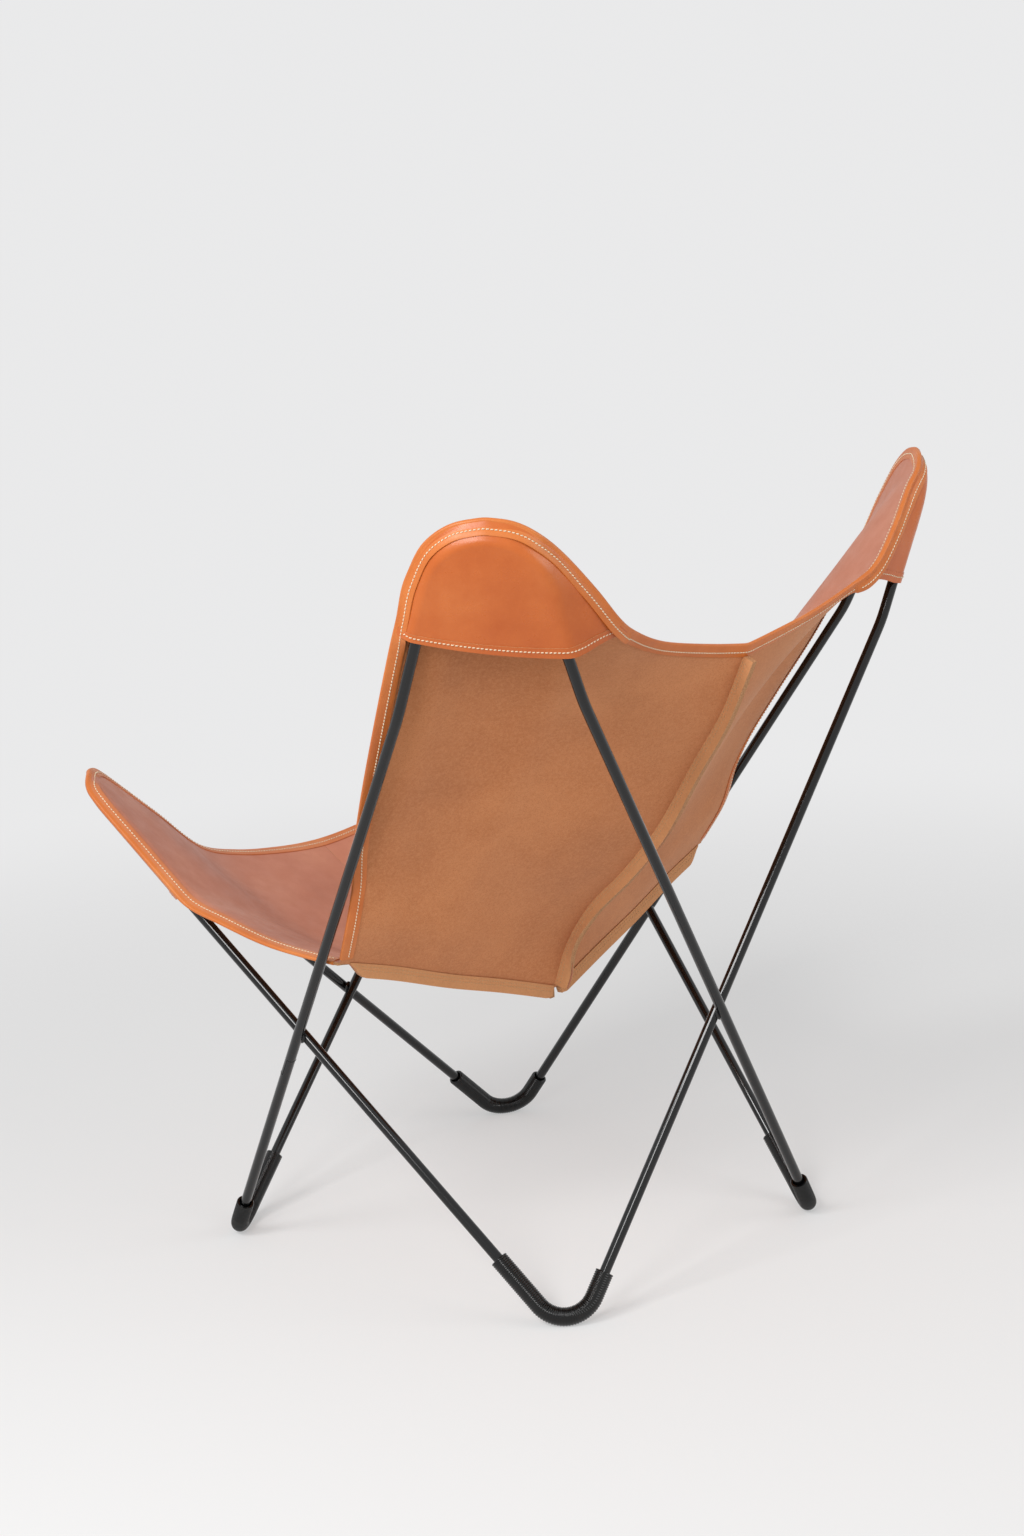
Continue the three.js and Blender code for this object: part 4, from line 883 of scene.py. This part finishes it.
back_left, back_right, seat_left, seat_right = PANELS
for pair, cuts, tags in (
        ((back_left, back_right), (("back_long", 0, 0.6), ("back_short", 0.6, 1)), ("front", "behind")),
        ((seat_left, seat_right), (("seat", 0, 1),), ("top", "under"))):
    rim = joined_rim(*pair)
    rim = (*rim, *wrap_of(rim, pair))
    last = len(rim[0]) - 3
    for name, start, end in cuts:
        part = slice(max(2, round(last * start)), round(last * end) + 1)
        binding(name, tuple(x[part] for x in rim), tags)


# Seam allowances standing out behind the sling

def fin(name, base, outward, across, side, lean, height):
    """One allowance: a strip of hide along a seam; lean is how far its free edge bends over."""
    grid = []
    for share in np.linspace(0, 1, FIN_LINES):
        reach = (SEAM_ALLOWANCE * share * height - FIN_ROOT)[:, None]
        bend = (lean * share ** FIN_BEND)[:, None]
        grid.append(base + outward * reach + across * (side * (FIN_GAP + LEATHER / 2) + bend))
    grid = np.stack(grid, 1)
    normals = grid_normals(grid)
    if (normals.reshape(-1, 3) @ (across[len(across) // 2] * side)).mean() < 0:
        normals = -normals
    thick_sheet(name, grid, -normals, LEATHER, [GRAIN, FIN, EDGE], slot="sling_hide")
    for k, level in enumerate(FIN_ROWS):
        part, low = modf(level / SEAM_ALLOWANCE * (FIN_LINES - 1))
        low, looks = int(low), normals[:, int(low)]
        line = mix(grid[:, low], grid[:, low + 1], part) + looks * (LEATHER / 2 + FIN_STITCH_OVER)
        stitch_row(f"{name}_row_{k + 1}", line, looks, thread=TAN_THREAD, size=FIN_STITCH)


def pair_of_fins(tag, names, curve, sideways, normals):
    """Both allowances of a seam; sideways is roughly the way across it."""
    share = np.linspace(FIN_START[tag] / curve.length, 1 - FIN_STOP / curve.length, FIN_COUNT)
    base = curve(share)
    tangent = unit(np.gradient(base, axis=0))
    outward = square_to(-read_at(share, np.linspace(0, 1, len(normals)), normals), tangent)
    across = unit(np.cross(tangent, outward))
    if (across @ sideways).mean() < 0:
        across = -across
    lean = sum(most * np.exp(-((share - at) / width) ** 2) for most, at, width in FIN_HUMPS.get(tag, ()))
    lean = lean + sum(most * np.sin(turns * share) for most, turns in FIN_WAVES[tag])
    height = np.ones(len(share))
    if tag in ("left", "right"):
        done, left = (share - share[0]) * curve.length, (share[-1] - share) * curve.length
        height = mix(FIN_TIP, 1, smooth(left / FIN_TAPER) ** FIN_FORM)
        height = height * mix(FIN_HEEL, 1, smooth(done / HEEL_TAPER))
    for name, side in zip(names, (1, -1)):
        fin(f"allowance_{tag}_{name}", base, outward, across, side, lean, height)


def seam_normals(a, b):
    """Normals along the seam between two panels' edges, read at even shares of its length."""
    both = unit(a + b)
    k = 1 - (1 - np.arange(len(both)) / (len(both) - 1)) ** EDGE_EASE
    return read_at(np.linspace(0, 1, SEAM_READS), k, both)


for tag, curve, a, b in (("back", back_seam, back_left, back_right),
                         ("front", front_seam, seat_left, seat_right)):
    pair_of_fins(tag, ("left", "right"), curve, vec(1, 0, 0), seam_normals(a.normals[0], b.normals[0]))
for tag, a, b in (("left", back_left, seat_left), ("right", back_right, seat_right)):
    pair_of_fins(tag, ("behind", "ahead"), a.side, vec(0, 1, 0),
                 seam_normals(a.normals[:, 0], b.normals[:, 0]))


# Ear pockets

def pocket(panel):
    """The pocket's middle layer (a leg, the round of the ear, a leg) and its legs' levels."""
    ear, depth, radius = panel.ear, panel.depth, POCKET_RADIUS
    at, normal, inside = rim_of(panel)
    under = at - unit(at - inside) * POCKET_INSET - normal * (LEATHER / 2 + POCKET_LEATHER / 2 + POCKET_PLAY)
    local = under - ear.apex
    flat = np.stack([local @ ear.across, local @ ear.down], -1)
    side_of = {}
    for h in (slice(0, ROWS + 1), slice(ROWS, None)):
        side_of[1 if flat[h][:, 0][np.argmin(abs(flat[h][:, 1] - SIDE_LEVEL))] > 0 else -1] = h

    def cross_rim(sign, measure):
        """Where a measure passes nought along one side of the rim."""
        h = side_of[sign]
        m = measure(flat[h])
        pts = under[h]
        order = range(len(m) - 1) if h.start else range(len(m) - 2, -1, -1)
        for i in order:
            if m[i] * m[i + 1] <= 0 and m[i] != m[i + 1]:
                return mix(pts[i], pts[i + 1], m[i] / (m[i] - m[i + 1]))
        return pts[np.argmin(abs(m))]

    def row_of(rim, rod, hub, slant):
        """From the rim straight to the bar's back, round it, and flat to the middle."""
        inward = unit(hub - rod)
        x0 = (rod - rim) @ inward * cos(slant)
        wide = float(wrap_radius(x0))
        shift = wide - radius
        first = float(tangent_angle(x0, (rim - rod) @ ear.normal - shift, wide))
        row = []
        for angle in np.linspace(min(first, BEND_START), -pi / 2, BEND_STEPS):
            x, y = wide * cos(angle), wide * sin(angle) + shift
            row.append(rod - inward * x / cos(slant) + ear.normal * y)
        row = [mix(rim, row[0], k / RIM_STEPS) for k in range(RIM_STEPS)] + row
        end = hub - ear.normal * radius
        web = [k / WEB_STEPS for k in range(1, WEB_STEPS + 1)]
        return row + [mix(row[-1], end, t) - ear.normal * DOME * t * (2 - t) for t in web]

    levels = np.linspace(depth, ear.bend, LEG_ROWS)[:-1]
    lows = (levels - ear.bend) / (depth - ear.bend)
    outer_rise, inner_rise, sag = MOUTHS[panel.to_back]
    legs = []
    for sign, rise in ((-1, outer_rise), (1, inner_rise)):
        part = []
        for d, low in zip(levels, lows):
            rim = cross_rim(sign, lambda f, level=d - rise * low: f[:, 1] - level)
            rod = ear_point(ear, sign * leg_reach(ear, d), d, 0)
            part.append(row_of(rim, rod, ear_point(ear, 0, d, 0), ear.half))
        legs.append(np.array(part))
    for k, (d, low) in enumerate(zip(levels, lows)):
        ends = [(leg[k, 0] - ear.apex) @ ear.across for leg in legs]
        for leg in legs:
            place = leg[k] - ear.apex
            share = (place @ ear.across - ends[0]) / (ends[1] - ends[0])
            wanted = d - mix(outer_rise, inner_rise, share) * low + sag * low * 4 * share * (1 - share)
            ease = np.clip(np.arange(len(leg[k])) / MOUTH_STEPS, 0, 1)
            leg[k] += ((wanted - place @ ear.down) * ease)[:, None] * ear.down
    hub = vec(0, ear.bend)
    arc = []
    for deg in np.arange(-90, 90.1, ARC_DEGREES):
        a = radians(deg)
        ray = vec(sin(a), -cos(a))
        rim = cross_rim(-1 if deg < 0 else 1, lambda f, ray=ray: (f - hub) @ vec(ray[1], -ray[0]))
        slant = max(0, abs(a) + ear.half - pi / 2)
        rod = hub + ray * ear.bend / cos(slant)
        arc.append(row_of(rim, ear_point(ear, rod[0], rod[1], 0), ear_point(ear, 0, ear.bend, 0), slant))
    grid = np.concatenate([legs[0], np.array(arc), legs[1][::-1]])
    relax(grid[:, 1:-1], 2)
    return grid, levels


def weld(points, faces):
    """Makes close points one, and drops the faces that this closes."""
    keys, index, kept = {}, [], []
    for p in points:
        key = tuple(np.round(p / WELD_REACH).astype(int))
        if key not in keys:
            keys[key] = len(kept)
            kept.append(p)
        index.append(keys[key])
    welded = [tuple(dict.fromkeys(index[k] for k in f)) for f in faces]
    return np.array(kept), [f for f in welded if len(f) > 2]


def vertex_normals(points, faces):
    normals = np.zeros_like(points)
    for f in faces:
        normals[list(f)] += np.cross(points[f[2]] - points[f[0]], points[f[-1]] - points[f[1]])
    return unit(normals)


def thick_mesh(name, points, faces, thickness, materials, behind, **kw):
    """A closed sheet round a loose mesh. behind is a direction that the outer face looks to."""
    normals = vertex_normals(points, faces)
    if (normals @ behind).mean() < 0:
        normals = -normals
        faces = [tuple(reversed(f)) for f in faces]
    n = len(points)
    both = [points + normals * thickness / 2, points - normals * thickness / 2]
    all_faces = list(faces) + [tuple(k + n for k in reversed(f)) for f in faces]
    idx = [0] * len(faces) + [1] * len(faces)
    edges = dict.fromkeys((a, b) for f in faces for a, b in zip(f, f[1:] + f[:1]))
    rim = [(b, a, a + n, b + n) for a, b in edges if (b, a) not in edges]
    add_object(name, both, all_faces + rim, materials, idx + [2] * len(rim), angle=50, **kw)


for panel in PANELS:
    behind = -panel.ear.normal
    grid, levels = pocket(panel)
    points, faces = weld(grid.reshape(-1, 3), grid_faces(*grid.shape[:2]))
    thick_mesh("pocket_" + panel.name, points, faces, POCKET_LEATHER, [POCKET, FLESH, EDGE], behind,
               slot="pocket_hide", replaces=["ear_pocket_" + panel.name])
    # The hem: the mouth's edge turned over and sewn down
    near = [k for k, d in enumerate(levels) if d > panel.depth - HEM]
    rows, looks = (np.array([np.vstack([g[k], g[-1 - k][::-1][1:]]) for k in near])
                   for g in (grid, grid_normals(grid)))
    if (looks.reshape(-1, 3) @ behind).mean() < 0:
        looks = -looks
    lifted = rows + looks * (POCKET_LEATHER + HEM_LEATHER) / 2
    thick_sheet("hem_" + panel.name, lifted, looks, HEM_LEATHER, [POCKET, POCKET, EDGE], slot="pocket_hide")
    row = mix(lifted[0], lifted[-1], HEM_STITCH / HEM) + looks[-1] * HEM_LEATHER * 0.6
    keep = np.concatenate([[True], np.linalg.norm(np.diff(row, axis=0), axis=1) > 0.05])
    stitch_row("hem_stitches_" + panel.name, row[keep], looks[-1][keep], start=HEM_START)


# Camera: where the photograph was taken from

def place(data, x, y, z, at):
    """Puts a camera or a lamp at a point, with its axes along x, y and z."""
    obj = bpy.data.objects.new(data.name, data)
    bpy.context.scene.collection.objects.link(obj)
    m = np.eye(4)
    m[:3] = np.column_stack([x, y, z, at])
    obj.matrix_world = Matrix(m.tolist())
    return obj


FOCAL, PHOTO_HEIGHT, SENSOR, YAW, PITCH, ROLL = 2536.2, 1536, 36.0, -2.370, 0.215, -0.060
EYE = (vec(2088.9, 2022.7, 1197.9) + SHIFT) * MM
fwd = vec(cos(YAW) * cos(PITCH), sin(YAW) * cos(PITCH), -sin(PITCH))
right = vec(sin(YAW), -cos(YAW), 0)
up = np.cross(right, fwd)
camera_data = bpy.data.cameras.new("camera")
camera_data.sensor_width = SENSOR
camera_data.lens = FOCAL / PHOTO_HEIGHT * SENSOR
bpy.context.scene.camera = place(camera_data, right * cos(ROLL) + up * sin(ROLL),
                                 -right * sin(ROLL) + up * cos(ROLL), -fwd, EYE)


# Floor, backdrop and light: the floor fades into the backdrop well away from the chair

def seen_rays(t):
    """1 for rays by which the background is seen: straight, mirrored or through glass."""
    path = node(t, "LightPath", {}).outputs
    direct = maths(t, "MAXIMUM", path["Is Camera Ray"], path["Is Glossy Ray"])
    return maths(t, "MAXIMUM", direct, path["Is Transmission Ray"])


FLOOR_FULL, FLOOR_GONE, FLOOR_GLOW = 0.85, 2.6, 0.45
floor_mat, t, s = new_material("studio_floor")
t.nodes.remove(s)
diffuse = node(t, "BsdfDiffuse", {"Color": (0.8, 0.795, 0.79, 1)})
glow = node(t, "Emission", {"Color": (0.88, 0.88, 0.88, 1), "Strength": 1.0})
far = node(t, "VectorMath", {0: coords(t)}, operation="LENGTH").outputs["Value"]
fade = node(t, "MapRange", {"Value": far, "From Min": FLOOR_FULL, "From Max": FLOOR_GONE},
            interpolation_type="SMOOTHSTEP").outputs["Result"]
clear = node(t, "BsdfTransparent", {})
share = maths(t, "MULTIPLY", seen_rays(t), FLOOR_GLOW)
ground = node(t, "MixShader", {0: share, 1: diffuse.outputs[0], 2: glow.outputs[0]})
shade = node(t, "MixShader", {0: fade, 1: ground.outputs[0], 2: clear.outputs[0]})
fill(t, t.nodes["Material Output"], {"Surface": shade.outputs[0]})
bpy.ops.mesh.primitive_plane_add(size=60)
floor = bpy.context.object
floor.name = "floor"
floor.data.materials.append(floor_mat)

world = bpy.data.worlds.new("studio")
bpy.context.scene.world = world
world.use_nodes = True
wt = world.node_tree
background = wt.nodes["Background"]
fill(wt, background, {"Color": (0.8, 0.8, 0.81, 1), "Strength": 0.55})
seen = node(wt, "Background", {"Color": (0.82, 0.82, 0.825, 1), "Strength": 1.0})
choice = node(wt, "MixShader", {0: seen_rays(wt), 1: background.outputs[0], 2: seen.outputs[0]})
fill(wt, wt.nodes["World Output"], {"Surface": choice.outputs[0]})


def area_light(name, at, towards, size, power):
    data = bpy.data.lights.new(name, "AREA")
    data.shape = "RECTANGLE"
    data.size, data.size_y = size
    data.energy = power
    back = unit(vec(*at) - vec(*towards))
    side = unit(np.cross(vec(0, 0, 1), back))
    place(data, side, np.cross(back, side), back, at)


area_light("key", (2.6, 0.2, 2.6), (0, 0, 0.45), (1.0, 1.0), 54)
area_light("front", (2.65, 1.25, 1.95), (0, 0, 0.3), (0.7, 1.0), 32)
area_light("fill", (-1.2, 2.8, 1.8), (0, 0, 0.45), (2.2, 1.6), 26)

bpy.context.scene.view_settings.view_transform = "Standard"
